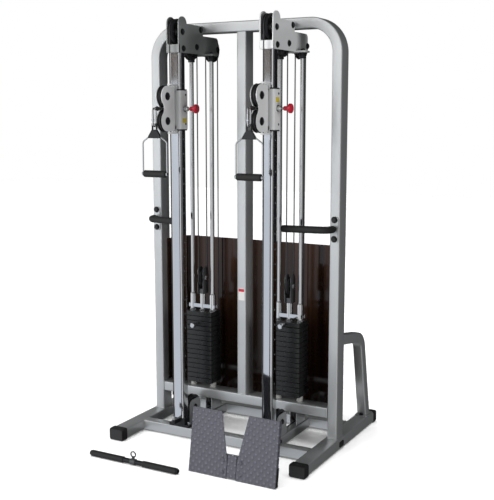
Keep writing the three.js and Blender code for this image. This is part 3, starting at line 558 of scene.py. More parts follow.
def floor_members():
    half = UPRIGHT_X - 0.038 - 0.0003
    z = FLOOR_TUBE_Z
    for name, y in (("front_floor_member", FRONT_MEMBER_Y), ("rear_floor_member", 0.2205)):
        shape = tube([(-half, y, z), (half, y, z)], TUBE_W / 2, TUBE_W / 2, (0, 1, 0), 0.005)
        shape.make(name.replace("_", " ") + " tube", SILVER, "frame", [name])
    shoes, nuts = Shape(), Shape()
    for side in SIDES.values():
        x = side * STATION_X
        shoes.prism(moved(rounded_rect(0.060, 0.0255, 0.006), x, FRONT_MEMBER_Y), "Z", 0.0565, 0.070)
        shoes.prism(moved(rounded_rect(0.036, 0.0250, 0.006), x, FRONT_MEMBER_Y), "Z", 0.069, 0.1037)
        shoes.box((x - 0.008, -0.296, 0.0837), (x + 0.008, -0.245, 0.1037))
        for dx in (-0.048, 0.048):
            nuts.bolt("Z", 0.070, 1, (x + dx, FRONT_MEMBER_Y), 0.0095, 0.009)
    shoes.make("column shoes", BLACK_STEEL, "frame", bevel=0.0012, slot="silver_paint")
    nuts.make("shoe nuts", STEEL, "frame")


def foot(name, side):
    x = side * UPRIGHT_X
    middle, half = (0.004 + FOOT_TOP) / 2, (FOOT_TOP - 0.004) / 2
    shape = tube([(x, -0.412, middle), (x, 0.446, middle)], 0.038, half, (1, 0, 0), 0.007)
    shape.make(f"{name} foot tube", SILVER, "frame", [f"{name}_foot"])
    caps = Shape()
    for low, high, tip in ((-0.441, -0.400, -0.441), (0.434, 0.475, 0.475)):
        inner = high if tip == low else low
        rings = []
        for share, grow in ((0, 0.0), (0.12, 0.0032), (0.35, 0.004), (1, 0.004)):
            y = tip + (inner - tip) * share
            outline = rounded_rect(0.038 + grow, 0.0265 + grow, 0.009, 5)
            rings.append([(x + a, y, middle + b) for a, b in outline])
        caps._add(rings)
        for k in range(4):
            y = inner + (tip - inner) * (0.2 + 0.15 * k)
            outline = rounded_rect(0.0418, 0.0303, 0.010, 5)
            caps.sweep([(x, y - 0.0012, middle), (x, y + 0.0012, middle)], outline, (1, 0, 0))
    caps.make(f"{name} foot caps", RUBBER, "frame")
    outline = moved(rounded_rect(0.026, 0.014, 0.010, 5), -0.010, 0.030)
    plug = Shape().prism(outline, "X", *span(x + side * 0.038, side, -0.001, 0.0040))
    plug.make(f"{name} foot plug", RUBBER, "frame", bevel=0.0010)
    Shape().bolt("Z", FOOT_TOP, 1, (x, 0.432), 0.0085, 0.006).make(f"{name} foot bolt", STEEL, "frame")


def brace(name, side):
    x = side * UPRIGHT_X
    corners = [(x, 0.0403, 0.5405), (x, 0.292, 0.500), (x, 0.3858, 0.0573)]
    tube(bent(corners, 0.080, 16), TUBE_W / 2, TUBE_W / 2, (1, 0, 0), 0.007).make(
        f"{name} rear brace tube", SILVER, "frame", [f"{name}_rear_brace"])
    outline = moved(rounded_rect(0.034, 0.045, 0.008), x, 0.388)
    flange = Shape().prism(outline, "Z", FOOT_TOP + 0.0002, FOOT_TOP + 0.0055)
    flange.make(f"{name} brace flange", SILVER, "frame", bevel=0.001)
    bolts = Shape()
    for dy in (-0.036, 0.037):
        bolts.bolt("Z", FOOT_TOP + 0.0055, 1, (x, 0.388 + dy), 0.0095, 0.008)
    bolts.make(f"{name} brace bolts", BLACK_STEEL, "frame")


def grab_handle(name, side):
    x = side * UPRIGHT_X
    front = -TUBE_D / 2 - 0.0003
    z = 1.095
    line = bent([(x, front, z), (x, -0.112, z), (x - side * 0.228, -0.150, z)], 0.045, 12)
    steel = Shape().sweep(line, circle(0.0125, 20), (0, 0, 1))
    plate = Shape().prism(moved(rounded_rect(0.018, 0.061, 0.008), x, 1.091), "Y", front - 0.006, front)
    plate.make(f"{name} grab wall plate", SILVER, "frame", bevel=0.0012, slot="rubber")
    steel.make(f"{name} grab bar", BLACK_STEEL, "frame", [f"{name}_grab_handle"], slot="rubber")
    direction = (line[-1] - line[-2]).normalized()
    start = line[0] + (line[1] - line[0]).normalized() * 0.022
    path = [start] + line[1:-1] + [line[-1] - direction * 0.004]
    foam = Shape().sweep(path, circle(0.0172, 28), (0, 0, 1))
    sleeve = foam.make(f"{name} grab foam", FOAM, "frame", bevel=0.003, sharp=50)
    bolts = Shape()
    for bolt_z in (1.138, 1.046):
        bolts.bolt("Y", front - 0.006, -1, (x, bolt_z), 0.0130, 0.0085)
    bolts.make(f"{name} grab bolts", BLACK_STEEL, "frame")


def base_rail(name, x):
    z = FLOOR_TUBE_Z
    shape = tube([(x, -0.1957, z), (x, 0.1947, z)], TUBE_W / 2, TUBE_W / 2, (1, 0, 0), 0.005)
    shape.make(f"{name} base rail tube", SILVER, "frame", [f"{name}_base_rail"])
    cheeks, bolts = Shape(), Shape()
    for place in ("base_front", "base_rear"):
        y, axle = WHEELS[place]
        outline = [(y - 0.052, 0.0565), (y + 0.052, 0.0565)]
        outline += arc((y + 0.022, 0.142), 0.030, 0, 90, 8) + arc((y - 0.022, 0.142), 0.030, 90, 180, 8)
        cheeks.plate_pair(outline, x, 0.016, 0.020)
        bolts.bolt_pair(x, 0.020, (y, axle), 0.0115, 0.0055)
    cheeks.make(f"{name} base cheeks", SILVER, "frame", bevel=0.0008)
    bolts.make(f"{name} base axle bolts", BLACK_STEEL, "frame")


def column(name, x):
    bar = Shape().prism(moved(rounded_rect(0.029, 0.025, 0.008, 6), x, COLUMN_Y), "Z", 0.104, 1.955)
    post = bar.make(f"{name} chrome column", CHROME, "frame", [f"{name}_column"])
    drill = Shape()
    for i in range(20):
        drill.rod(0.0055, "X", x + 0.020, x + 0.036, (COLUMN_Y, 0.3525 + 0.0725 * i), 16, 0.0001)
    bore = drill.make(f"{name} drill", CHROME, "frame", slot="")
    cut = post.modifiers.new("pin holes", "BOOLEAN")
    cut.object = bore
    cut.solver = "EXACT"
    depsgraph = bpy.context.evaluated_depsgraph_get()
    drilled = bpy.data.meshes.new_from_object(post.evaluated_get(depsgraph))
    post.modifiers.clear()
    post.data = drilled
    bpy.data.objects.remove(bore)
    bm = bmesh.new()
    bm.from_mesh(drilled)
    for edge in bm.edges:
        edge.smooth = edge.calc_face_angle(0) < math.radians(25)
    bm.to_mesh(drilled)
    bm.free()


def top_bracket(name, x):
    outline = [(-0.262, 1.924), (0.096, 1.924), (0.108, 1.936)]
    outline += arc((0.086, 1.993), 0.022, 0, 90, 6)
    outline += [(-0.0403, 2.015), (-0.0403, 2.062), (-0.190, 2.062)]
    outline += arc((-0.226, 2.058), 0.036, 0, 180, 14)
    plates = Shape().plate_pair(outline, x, 0.0295, 0.0355)
    plates.box((x - 0.0355, -0.262, 1.924), (x + 0.0355, -0.254, 1.962))
    plates.prism(moved(rounded_rect(0.083, 0.032, 0.008), x, 0), "Z", 1.921, 1.929)
    # Each bracket wears its side's copy of the paint: painted shade on the left, painted light on the right.
    plates.make(f"{name} bracket plates", BRACKET_LIT_AND_SHADED[name], "frame", [f"{name}_top_bracket"], bevel=0.0012)
    bolts, spacers = Shape(), Shape()
    axles = [WHEELS["top_front"], WHEELS["top_middle"], WHEELS["top_rear"]]
    for place in axles + [(-0.222, 1.944), (-0.062, 2.044)]:
        bolts.bolt_pair(x, 0.0355, place, 0.0125, 0.0055)
    for place in axles:
        for way in (-1, 1):
            spacers.rod(0.013, "X", *span(x, way, 0.0128, 0.0296), place, 24)
    spacers.make(f"{name} bracket spacers", STEEL, "frame", slot="bracket_paint")
    collars = Shape()
    for way in (-1, 1):
        centre = (x + way * ROD_OFFSET, 0, 0)
        profile = [(0.0113, 1.8930), (0.0165, 1.8930), (0.0170, 1.8940), (0.0170, 1.9080), (0.0150, 1.9095),
                   (0.0150, 1.9115), (0.0170, 1.9130), (0.0170, 1.9212), (0.0113, 1.9212), (0.0113, 1.8930)]
        collars.lathe(profile, "Z", centre, 32)
        bolts.bolt("Z", 1.929, 1, (x + way * ROD_OFFSET, 0), 0.0105, 0.008)
    collars.make(f"{name} rod collars", BLACK_STEEL, "frame")
    bolts.make(f"{name} bracket bolts", BLACK_STEEL, "frame")


def guide_rods(name, side):
    x = side * STATION_X
    for word, way in (("outer", side), ("inner", -side)):
        rod = Shape().rod(0.011, "Z", 0.2093, 1.9205, (x + way * ROD_OFFSET, 0), 28)
        rod.make(f"{name} {word} rod", CHROME, "frame", [f"{name}_{word}_guide_rod"])
    pads = Shape()
    for way in (-1, 1):
        centre = (x + way * ROD_OFFSET, 0, 0)
        profile = [(0.0124, 0.2094), (0.0150, 0.2094), (0.0160, 0.2110), (0.0165, 0.2160), (0.0148, 0.2185),
                   (0.0148, 0.2215),
                   (0.0165, 0.2240), (0.0165, 0.2300), (0.0150, 0.2340), (0.0150, 0.2378), (0.0124,
                                                                                            0.2378), (0.0124,
                                                                                                      0.2094)]
        pads.lathe(profile, "Z", centre, 32)
    pads.make(f"{name} stack cushions", CUSHION, "frame")


def shroud():
    edge = UPRIGHT_X - TUBE_W / 2 - 0.0023
    corners = [(-edge, 0.008, 0), (-edge, 0.126, 0), (-edge + 0.030, 0.186, 0),
               (edge - 0.030, 0.186, 0), (edge, 0.126, 0), (edge, 0.008, 0)]
    line = bent(corners, 0.030, 6)
    behind = TUBE_D / 2 + 0.002
    step = [behind - 0.0005, behind]
    line[1:1] = [Vector((-edge, y, 0)) for y in step]
    line[-1:-1] = [Vector((edge, y, 0)) for y in step[::-1]]
    rings = []
    for i, point in enumerate(line):
        before, after = line[max(i - 1, 0)], line[min(i + 1, len(line) - 1)]
        across = (after - before).normalized().cross(Vector((0, 0, 1))) * 0.002
        low = SHROUD_LOW if point.y > behind - 0.0001 else SHROUD_NOTCH
        inside, outside = point + across, point - across
        corners = ((inside, low), (inside, SHROUD_TOP), (outside, SHROUD_TOP), (outside, low))
        rings.append([(corner.x, corner.y, z) for corner, z in corners])
    Shape()._add(rings).make("smoked rear shroud", SMOKE, "frame", ["rear_shroud"])
    screws = Shape()
    for way in (-1, 1):
        for z in (0.255, 0.480, 0.720, 0.945):
            screws.rod(0.008, "X", *span(0, way, edge - 0.0018, edge - 0.0058), (0.024, z), 20, 0.0012)
    screws.make("shroud screws", BLACK_STEEL, "frame")


# ---- wheels and cables ---------------------------------------------------------------------------
def wheel(name, body, x, y, z, rim, root, half):
    """A moulded cable pulley: grooved rim, thin web with ribs, and a hub round a steel bearing."""
    bore = 0.0095
    lip = 0.0022
    web = half * 0.40
    hub = min(0.019, rim * 0.36)
    groove = 0.0038
    profile = [(hub + 0.003, -web), (root - 0.010, -web), (root - 0.0065, -half), (rim - lip, -half),
               (rim, -half + lip)]
    profile += [(root + 0.0022, -groove * 1.05), (root, -groove * 0.45), (root, groove * 0.45),
                (root + 0.0022, groove * 1.05)]
    profile += [(rim, half - lip), (rim - lip, half), (root - 0.0065, half), (root - 0.010, web),
                (hub + 0.003, web)]
    profile += [(hub, half), (bore + 0.004, half), (bore + 0.004, -half), (hub, -half), (hub + 0.003, -web)]
    shape = Shape().lathe(profile, "X", (x, y, z), 48)
    centre = Vector((x, y, z))
    for k in range(6):
        angle = TAU * k / 6
        along = Vector((0, math.cos(angle), math.sin(angle)))
        across = Vector((0, -math.sin(angle), math.cos(angle))) * 0.0018
        low, high = centre + along * (hub - 0.001), centre + along * (root - 0.0075)
        corners = [low + across, low - across, high - across, high + across]
        shape.prism([(p.y, p.z) for p in corners], "X", x - half * 0.82, x + half * 0.82)
    shape.make(f"{name} moulding", NYLON, body, [name])
    depth = half + 0.0004
    ring = [(bore + 0.0001, -depth), (bore + 0.0043, -depth), (bore + 0.0043, depth), (bore + 0.0001, depth)]
    bearing = Shape().lathe(ring + [ring[0]], "X", (x, y, z), 32)
    bearing.make(f"{name} bearing", STEEL, body)


def wrap(centre, radius, start, end):
    """Cable points round a pulley, in degrees from +Y towards +Z."""
    return arc(centre, radius, start, end, max(4, round(abs(end - start) / 7)))


def run(name, x, points, body, replaces=(), radius=CABLE_R):
    shape = Shape().sweep([(x, y, z) for y, z in points], circle(radius, 12), (1, 0, 0))
    return shape.make(name, SHEATH, body, replaces, sharp=50)


def cables(name, x):
    front, middle, rear = WHEELS["top_front"], WHEELS["top_middle"], WHEELS["top_rear"]
    over = 63.6
    points = [(SWIVEL_Y, 0.104)] + wrap(front, 0.058, 180, over) + wrap(middle, WRAP, over, 0)
    run(f"{name} front cable", x, points, "frame", [f"{name}_cable"])
    for word, y in (("down", -FLOAT_R), ("up", FLOAT_R)):
        line = [(y, middle[1] - (middle[1] - FLOAT_Z) * k / 24) for k in range(25)]
        piece = run(f"{name} stack cable {word}", x, line, "frame")
        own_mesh(piece)
    run(f"{name} floating wrap", x, wrap((0, FLOAT_Z), FLOAT_R, 180, 360), f"{name}_lift")
    points = wrap(rear, WRAP, 180, 0) + wrap(WHEELS["base_rear"], WRAP, 0, -90)
    points += wrap(WHEELS["base_front"], WRAP, -90, -180)
    run(f"{name} rear cable", x, points, "frame")
    back = WHEELS["base_front"][0] - WRAP
    low, high = WHEELS["base_front"][1], 1.569
    line = [(back, low + (high - low) * k / 24) for k in range(25)]
    piece = run(f"{name} carriage cable", x, line, "frame")
    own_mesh(piece)
    end = [(back, high - 0.150), (back, high + 0.004)]
    run(f"{name} carriage cable end", x, end, f"{name}_carriage", radius=CABLE_R - 0.0001)
    Shape().rod(0.0055, "Z", 0.104, 0.128, (x, SWIVEL_Y), 20).make(f"{name} cable ferrule", STEEL, "frame")


# ---- carriage ------------------------------------------------------------------------------------
def carriage(name, side):
    x = side * STATION_X
    body = f"{name}_carriage"
    inner = moved(rounded_rect(0.0295, 0.0255, 0.008, 6), x, COLUMN_Y)
    outer = moved(rounded_rect(0.0385, 0.0345, 0.011, 6), x, COLUMN_Y)
    sleeve = Shape().ring(outer, inner, 1.560, 1.745)
    sleeve.make(f"{name} sleeve", PALE, body, [f"{name}_carriage"], bevel=0.0006, sharp=60)
    liner = moved(rounded_rect(0.0362, 0.0322, 0.010, 6), x, COLUMN_Y)
    bushes = Shape().ring(liner, inner, 1.7445, 1.7515).ring(liner, inner, 1.5535, 1.5605)
    bushes.make(f"{name} sleeve bushings", NYLON, body, bevel=0.0006, sharp=60)
    lugs = Shape()
    holes = []
    for way in (-1, 1):
        near = CARRIAGE_Z + way * 0.110
        far = near + way * 0.009
        low, high = sorted((near, far))
        outline = [(x - 0.014, -0.254)] + [(x + a, b) for a, b in arc((0, SWIVEL_Y), 0.014, 180, 360, 12)]
        outline += [(x + 0.014, -0.254)]
        bore = [(x + a, b + SWIVEL_Y) for a, b in circle(0.0062, 20)]
        lugs.prism(outline, "Z", low, high)
        root = sorted((far, CARRIAGE_Z + way * 0.080))
        lugs.box((x - 0.014, -0.2565, root[0]), (x + 0.014, -0.2495, root[1]))
        holes.append((bore, low, high))
    lugs.box((x - 0.008, -0.1885, 1.556), (x + 0.008, -0.1670, 1.575))
    lugs.make(f"{name} carriage lugs", PALE, body, bevel=0.0010)
    rims = Shape()
    for bore, low, high in holes:
        for level in (low - 0.0004, high - 0.0006):
            profile = [(0.0045, 0), (0.0085, 0), (0.0085, 0.001), (0.0045, 0.001), (0.0045, 0)]
            rims.lathe(profile, "Z", (x, SWIVEL_Y, level), 24)
    rims.make(f"{name} lug bushes", BLACK_STEEL, body)
    profile = [(0.0053, 0.0380), (0.0160, 0.0380), (0.0160, 0.0410), (0.0115, 0.0420), (0.0115, 0.0570),
               (0.0100, 0.0600),
               (0.0053, 0.0605), (0.0053, 0.0380)]
    Shape().lathe(profile, "X", (x, COLUMN_Y, CARRIAGE_Z), 32).make(f"{name} pin housing", STEEL, body)
    label_z = 1.696 if side > 0 else 1.600
    label = Shape().box((x + 0.0383, -0.240, label_z - 0.010), (x + 0.0389, -0.204, label_z + 0.012))
    label.make(f"{name} sleeve label", YELLOW, body, bevel=0.0002)
    screws = Shape()
    for z in (1.585, 1.725):
        for way in (1, -1):
            screws.rod(0.0052, "X", *span(x, way, 0.0380, 0.0405), (-0.212, z), 20, 0.001)
    screws.make(f"{name} sleeve screws", BLACK_STEEL, body)


def pull_pin(name, x):
    centre = (x, COLUMN_Y, CARRIAGE_Z)
    body = f"{name}_pull_pin"
    profile = [(0, 0.0293), (0.0040, 0.0293), (0.0050, 0.0313), (0.0050, 0.0800), (0, 0.0800)]
    Shape().lathe(profile, "X", centre, 24).make(f"{name} pull pin shaft", STEEL, body)
    profile = [(0, 0.0702), (0.0085, 0.0702), (0.0100, 0.0720), (0.0108, 0.0790), (0.0105, 0.0900),
               (0.0112, 0.0950), (0.0200, 0.0972), (0.0220, 0.0995), (0.0220, 0.1085), (0.0200, 0.1112),
               (0.0060, 0.1120), (0, 0.1120)]
    Shape().lathe(profile, "X", centre, 40).make(f"{name} pull knob", RED, body, [f"{name}_pull_pin"])


def head(name, x):
    body = f"{name}_head"
    lobe = 0.049
    rear = SWIVEL_Y + 0.012
    low, top = CARRIAGE_Z - 0.107, CARRIAGE_Z + 0.107
    curve = 0.016
    outline = arc((rear - curve, low + curve), curve, -90, 0, 6)
    outline += arc((rear - curve, top - curve), curve, 0, 90, 6)
    upper = arc((HEAD_AXLE_Y, CARRIAGE_Z + HEAD_RISE), lobe, 90, 228, 18)
    lower = arc((HEAD_AXLE_Y, CARRIAGE_Z - HEAD_RISE), lobe, 132, 270, 18)
    waist = upper[-1][0] + 0.006
    upper += [(waist, CARRIAGE_Z + 0.012), (waist + 0.001, CARRIAGE_Z), (waist, CARRIAGE_Z - 0.012)]
    plates = Shape().plate_pair(outline + upper + lower, x, 0.013, 0.017)
    plates.make(f"{name} head plates", PALE, body, [f"{name}_pulley_head"], bevel=0.0009)
    blocks, bolts = Shape(), Shape()
    outline = moved(rounded_rect(0.0128, 0.0095, 0.003), x, SWIVEL_Y + 0.001)
    for way in (-1, 1):
        blocks.prism(outline, "Z", *span(CARRIAGE_Z, way, 0.0945, 0.107))
        bolts.bolt_pair(x, 0.017, (HEAD_AXLE_Y, CARRIAGE_Z + way * HEAD_RISE), 0.0155, 0.0048)
    blocks.make(f"{name} swivel blocks", BLACK_STEEL, body, bevel=0.0006)
    bolts.make(f"{name} head bolts", BLACK_STEEL, body)


def cable_end(name, x):
    body = f"{name}_head"
    stub = Shape().rod(CABLE_R, "Y", -0.400, -0.2915, (x, CARRIAGE_Z), 12)
    stub.make(f"{name} cable stub", SHEATH, body)
    radius = 0.0110
    angles = [math.pi * k / 12 for k in range(1, 12)]
    profile = [(radius * math.sin(angle), -radius * math.cos(angle)) for angle in angles]
    profile = [(0, -radius)] + profile + [(0, radius)]
    ball = Shape().lathe(profile, "Y", (x, -0.400, CARRIAGE_Z), 28)
    ball.rod(0.0060, "Y", -0.392, -0.378, (x, CARRIAGE_Z), 20)
    ball.make(f"{name} ball stop", RUBBER, body)
    y = HOOK_Y
    top, low, half = 1.6450, 1.5890, 0.0135
    loop = [(x, a, b) for a, b in arc((y, top), half, 0, 180, 12) + arc((y, low), half, 180, 360, 12)]
    hook = Shape().sweep(loop, circle(0.0043, 14), (1, 0, 0), closed=True)
    hook.rod(0.0062, "Y", y - half - 0.0045, y - half + 0.0040, (x, 1.604), 16)
    hook.rod(0.0052, "Z", 1.604, 1.634, (x, y - half), 16)
    hook.make(f"{name} snap hook", CHROME, body, [f"{name}_cable_end"])


def stirrup(name, x):
    body = f"{name}_stirrup"
    y = HOOK_Y
    outline = [(x - 0.013, 1.560), (x - 0.034, 1.528), (x - 0.036, 1.520)]
    outline += [(x + 0.036, 1.520), (x + 0.034, 1.528), (x + 0.013, 1.560)]
    yoke = Shape().prism(outline, "Y", y - 0.007, y + 0.007)
    ear = [(y - 0.005, 1.556), (y + 0.005, 1.556)] + arc((y, STIRRUP_PIVOT_Z), 0.005, 0, 180, 8)
    yoke.plate_pair(ear, x, 0.0100, 0.0138)
    yoke.make(f"{name} stirrup yoke", BLACK_STEEL, body, [f"{name}_stirrup_handle"], bevel=0.0012,
              slot="rubber")
    bars = Shape().rod(0.0036, "X", x - 0.0138, x + 0.0138, (y, STIRRUP_PIVOT_Z), 16)
    for way in (-1, 1):
        reach = x + way * 0.0675
        corners = [(x + way * 0.030, y, 1.528), (reach, y, 1.503), (reach, y, GRIP_Z)]
        bars.sweep(bent(corners, 0.018, 8), circle(0.0036, 14), (0, 1, 0))
        bars.rod(0.0090, "X", *span(x, way, 0.0610, 0.0718), (y, GRIP_Z), 24)
    bars.make(f"{name} stirrup bars", CHROME, body)
    profile = [(0, -0.0605), (0.0150, -0.0605)]
    for k in range(15):
        h = -0.0560 + 0.008 * k
        profile += [(0.0158, h - 0.0030), (0.0168, h), (0.0158, h + 0.0030)]
    profile += [(0.0150, 0.0605), (0, 0.0605)]
    grip = Shape().lathe(profile, "X", (x, y, GRIP_Z), 32)
    piece = grip.make(f"{name} stirrup grip", FOAM, body, sharp=70)


# ---- weights -------------------------------------------------------------------------------------
def plates(shape, x, first, count, drop=0.0):
    for i in range(first, first + count):
        low = STACK_BASE + i * PLATE + (drop if i == first else 0)
        high = STACK_BASE + (i + 1) * PLATE
        shape.prism(moved(rounded_rect(0.080, 0.053, 0.006, 3), x, 0), "Z", low + 0.0006, high - 0.0010)


def pin_holes(shape, dark, x, first, count, skip=None):
    for i in range(first, first + count):
        if i == skip:
            continue
        z = STACK_BASE + (i + 0.5) * PLATE
        profile = [(0.0052, 0), (0.0085, 0), (0.0080, -0.0006), (0.0056, -0.0006), (0.0052, 0)]
        shape.lathe(profile, "Y", (x, -0.0530, z), 20)
        dark.rod(0.0054, "Y", -0.0532, -0.0520, (x, z), 20, 0.0001)


def weights(name, x):
    picked = PICKED[name]
    resting = PLATES - picked
    top = STACK_BASE + PLATES * PLATE
    lower = Shape()
    plates(lower, x, 0, resting)
    lower.make(f"{name} lower plates", IRON, "frame", [f"{name}_resting_plates"], bevel=0.0026)
    body = f"{name}_lift"
    upper = Shape()
    plates(upper, x, resting, picked, 0.0003)
    upper.make(f"{name} picked plates", IRON, body, [f"{name}_lifted_weights"], bevel=0.0026)
    for word, first, count, rides in (("lower", 0, resting, "frame"), ("picked", resting, picked, body)):
        rims, dark = Shape(), Shape()
        skip = resting if word == "picked" else None
        pin_holes(rims, dark, x, first, count, skip)
        if len(rims.bm.verts):
            rims.make(f"{name} {word} hole rims", BLACK_STEEL, rides, slot="cast_iron")
            dark.make(f"{name} {word} hole shadows", RUBBER, rides, slot="cast_iron")
    chrome = Shape()
    for way in (-1, 1):
        profile = [(0.0124, top), (0.0200, top), (0.0200, top + 0.004), (0.0165, top + 0.006)]
        profile += [(0.0165, 0.7010), (0.0155, 0.7040), (0.0124, 0.7080), (0.0124, top)]
        chrome.lathe(profile, "Z", (x + way * ROD_OFFSET, 0, 0), 32)
    profile = [(0, top), (0.0200, top), (0.0200, top + 0.004), (0.0160, top + 0.006), (0.0160, 0.7060),
               (0, 0.7060)]
    chrome.lathe(profile, "Z", (x, 0, 0), 32)
    chrome.make(f"{name} guide bushes", CHROME, body)
    yoke = Shape()
    for y0, y1 in ((-0.0145, -0.0110), (0.0110, 0.0145)):
        yoke.prism(moved(rounded_rect(0.078, 0.010, 0.004), x, 0.642), "Y", y0, y1)
    yoke.box((x - 0.0765, -0.0125, 0.6485), (x + 0.0765, 0.0125, 0.6520))
    yoke.make(f"{name} guide yoke", CHROME, body, bevel=0.0010)
    outline = [(-0.027, 0.710), (-0.023, 0.706), (0.023, 0.706), (0.027, 0.710)]
    outline += arc((0, 0.823), 0.027, 0, 180, 14)
    cheeks = Shape().plate_pair(outline, x, 0.014, 0.018)
    cheeks.box((x - 0.0178, -0.016, 0.706), (x + 0.0178, 0.016, 0.732))
    cheeks.make(f"{name} floating cheeks", DARK_PAINT, body, bevel=0.0010)
    Shape().bolt_pair(x, 0.018, (0, FLOAT_Z), 0.0115, 0.0050).make(f"{name} floating bolts", STEEL, body)
    stem = Shape().rod(0.009, "Z", 0.2485, STACK_BASE + resting * PLATE + 0.004, (x, 0), 24)
    stem.make(f"{name} selector stem", STEEL, body)


def selector(name, x):
    body = f"{name}_selector"
    z = STACK_BASE + (PLATES - PICKED[name] + 0.5) * PLATE
    pin = Shape().rod(0.0044, "Y", -0.098, 0.0018, (x, z), 20)
    profile = [(0, -0.0910), (0.0080, -0.0910), (0.0080, -0.0640), (0.0070, -0.0610), (0, -0.0610)]
    pin.lathe(profile, "Y", (x, 0, z), 24)
    pin.make(f"{name} selector shank", STEEL, body, [f"{name}_selector_pin"])
    profile = [(0, -0.1120), (0.0100, -0.1118), (0.0126, -0.1100), (0.0130, -0.1075), (0.0130, -0.0920),
               (0.0118, -0.0890),
               (0.0080, -0.0880), (0, -0.0880)]
    Shape().lathe(profile, "Y", (x, 0, z), 32).make(f"{name} selector knob", CHROME, body)


# ---- footplates and the loose bar ----------------------------------------------------------------
def leaned(shape):
    """Tips the collected solids back about the footplates' floor line."""
    for vert in shape.bm.verts:
        y, z = vert.co.y, vert.co.z
        vert.co.y = FOOTPLATE_Y + y * math.cos(LEAN) + z * math.sin(LEAN)
        vert.co.z = z * math.cos(LEAN) - y * math.sin(LEAN)
    return shape


def footplate(name, side):
    outline = [(0.024, 0.002), (0.224, 0.002), (0.2235, 0.150), (0.223, 0.302), (0.070, 0.302),
               (0.030, 0.110), (0.025, 0.080)]
    points = [(STATION_X + side * a, b) for a, b in outline]
    plate = Shape().prism(points, "Y", 0.0, 0.005)
    outer = STATION_X + side * 0.224
    near, far = span(outer, side, 0, -0.005)
    plate.box((near, 0.004, 0.008), (far, 0.022, 0.300))
    leaned(plate).make(f"{name} tread plate", TREAD, "frame", [f"{name}_footplate"], bevel=0.0012)
    bolts = Shape()
    for z in (0.030, 0.085):
        bolts.bolt("Y", 0.0001, -1, (STATION_X + side * 0.045, z), 0.0075, 0.003)
    leaned(bolts).make(f"{name} tread bolts", TREAD, "frame")
    near, far = span(outer, side, -0.0065, 0.0012)
    guard = Shape().box((near, 0.0052, 0.006), (far, 0.026, 0.092))
    leaned(guard).make(f"{name} edge guard", RUBBER, "frame", bevel=0.0012)


def footplate_support():
    back = Shape().box((STATION_X - 0.075, 0.0055, 0.006), (STATION_X + 0.075, 0.0135, 0.114))
    back.box((STATION_X - 0.023, 0.0005, 0.006), (STATION_X + 0.023, 0.0095, 0.110))
    leaned(back).make("footplate joining plate", TREAD, "frame", ["footplate_support"], bevel=0.0010)
    z = FLOOR_TUBE_Z
    rail = tube([(STATION_X, -0.588, z), (STATION_X, -0.2473, z)], TUBE_W / 2, TUBE_W / 2, (1, 0, 0), 0.005)
    rail.make("footplate rail", SILVER, "frame", slot="tread_plate")
    gusset = Shape().prism([(-0.586, 0.055), (-0.475, 0.055), (-0.577, 0.115)], "X", STATION_X - 0.004,
                           STATION_X + 0.004)
    gusset.make("footplate gusset", SILVER, "frame", bevel=0.0008, slot="tread_plate")


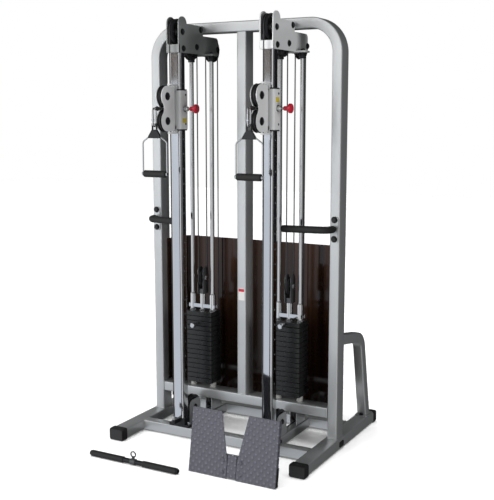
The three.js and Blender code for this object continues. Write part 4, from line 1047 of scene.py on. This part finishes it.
def straight_bar():
    y, z = -0.660, 0.015
    left, right = -0.489, 0.011
    middle = (left + right) / 2
    core = Shape().rod(0.0118, "X", left, right, (y, z), 28, 0.0015)
    core.make("straight bar core", BLACK_STEEL, "straight_bar", ["straight_bar"], slot="chrome")
    hub = Shape().rod(0.0150, "X", middle - 0.014, middle + 0.014, (y, z), 28, 0.0015)
    hub.rod(0.0068, "Z", z + 0.012, z + 0.026, (middle, y), 20)
    ring = [(middle + a, y, z + 0.036 + b) for a, b in circle(0.013, 28)]
    hub.sweep(ring, circle(0.0034, 12), (0, 1, 0), closed=True)
    hub.make("straight bar swivel", DARK_PAINT, "straight_bar", slot="chrome")
    for word, low, high in (("left", left + 0.008, middle - 0.055), ("right", middle + 0.055, right - 0.008)):
        profile = [(0, low), (0.0138, low), (0.0150, low + 0.0015)]
        count = 22
        for k in range(count):
            h = low + 0.006 + (high - low - 0.012) * k / (count - 1)
            profile += [(0.0150, h - 0.0030), (0.0143, h), (0.0150, h + 0.0030)]
        profile += [(0.0150, high - 0.0015), (0.0138, high), (0, high)]
        grip = Shape().lathe(profile, "X", (0, y, z), 28)
        piece = grip.make(f"straight bar {word} grip", FOAM, "straight_bar", sharp=70)


def floor():
    size = 14
    mesh = bpy.data.meshes.new("floor")
    mesh.from_pydata([(-size, -size, 0), (size, -size, 0), (size, size, 0), (-size, size, 0)], [],
                     [(0, 1, 2, 3)])
    obj = placed("floor", mesh)
    paint = surface("studio floor", None, (0.96, 0.96, 0.96), 0.0, 0.85, tint=0.004, bump=0.0,
                    Specular_IOR_Level=0.1, Emission_Color=(1, 1, 1, 1), Emission_Strength=0.04)
    mesh.materials.append(paint)
    obj.visible_diffuse = False
    obj.visible_glossy = False
    lit = bpy.data.collections.new("floor only")
    lit.objects.link(obj)
    data = bpy.data.lights.new("floor light", "SUN")
    data.angle = math.radians(60)
    data.energy = 2.9
    above = placed("floor light", data)
    above.light_linking.receiver_collection = lit


camera()
studio()
floor()
arch()
centre_frame()
floor_members()
shroud()
for station, way in SIDES.items():
    middle = way * STATION_X
    foot(station, way)
    brace(station, way)
    grab_handle(station, way)
    base_rail(station, middle)
    column(station, middle)
    top_bracket(station, middle)
    guide_rods(station, way)
    for spot, (wheel_y, wheel_z) in WHEELS.items():
        wheel(f"{station}_{spot}_pulley", f"{station}_{spot}_wheel", middle, wheel_y, wheel_z,
              0.062, 0.0550, 0.0125)
    wheel(f"{station}_floating_pulley", f"{station}_float_wheel", middle, 0, FLOAT_Z, 0.045, 0.0388, 0.010)
    for spot, rise in (("upper_head", HEAD_RISE), ("lower_head", -HEAD_RISE)):
        wheel(f"{station}_{spot}_pulley", f"{station}_{spot}_wheel", middle, HEAD_AXLE_Y, CARRIAGE_Z + rise,
              0.0525, 0.0468, 0.010)
    cables(station, middle)
    carriage(station, way)
    pull_pin(station, middle)
    head(station, middle)
    cable_end(station, middle)
    stirrup(station, middle)
    weights(station, middle)
    selector(station, middle)
    footplate(station, way)
footplate_support()
straight_bar()
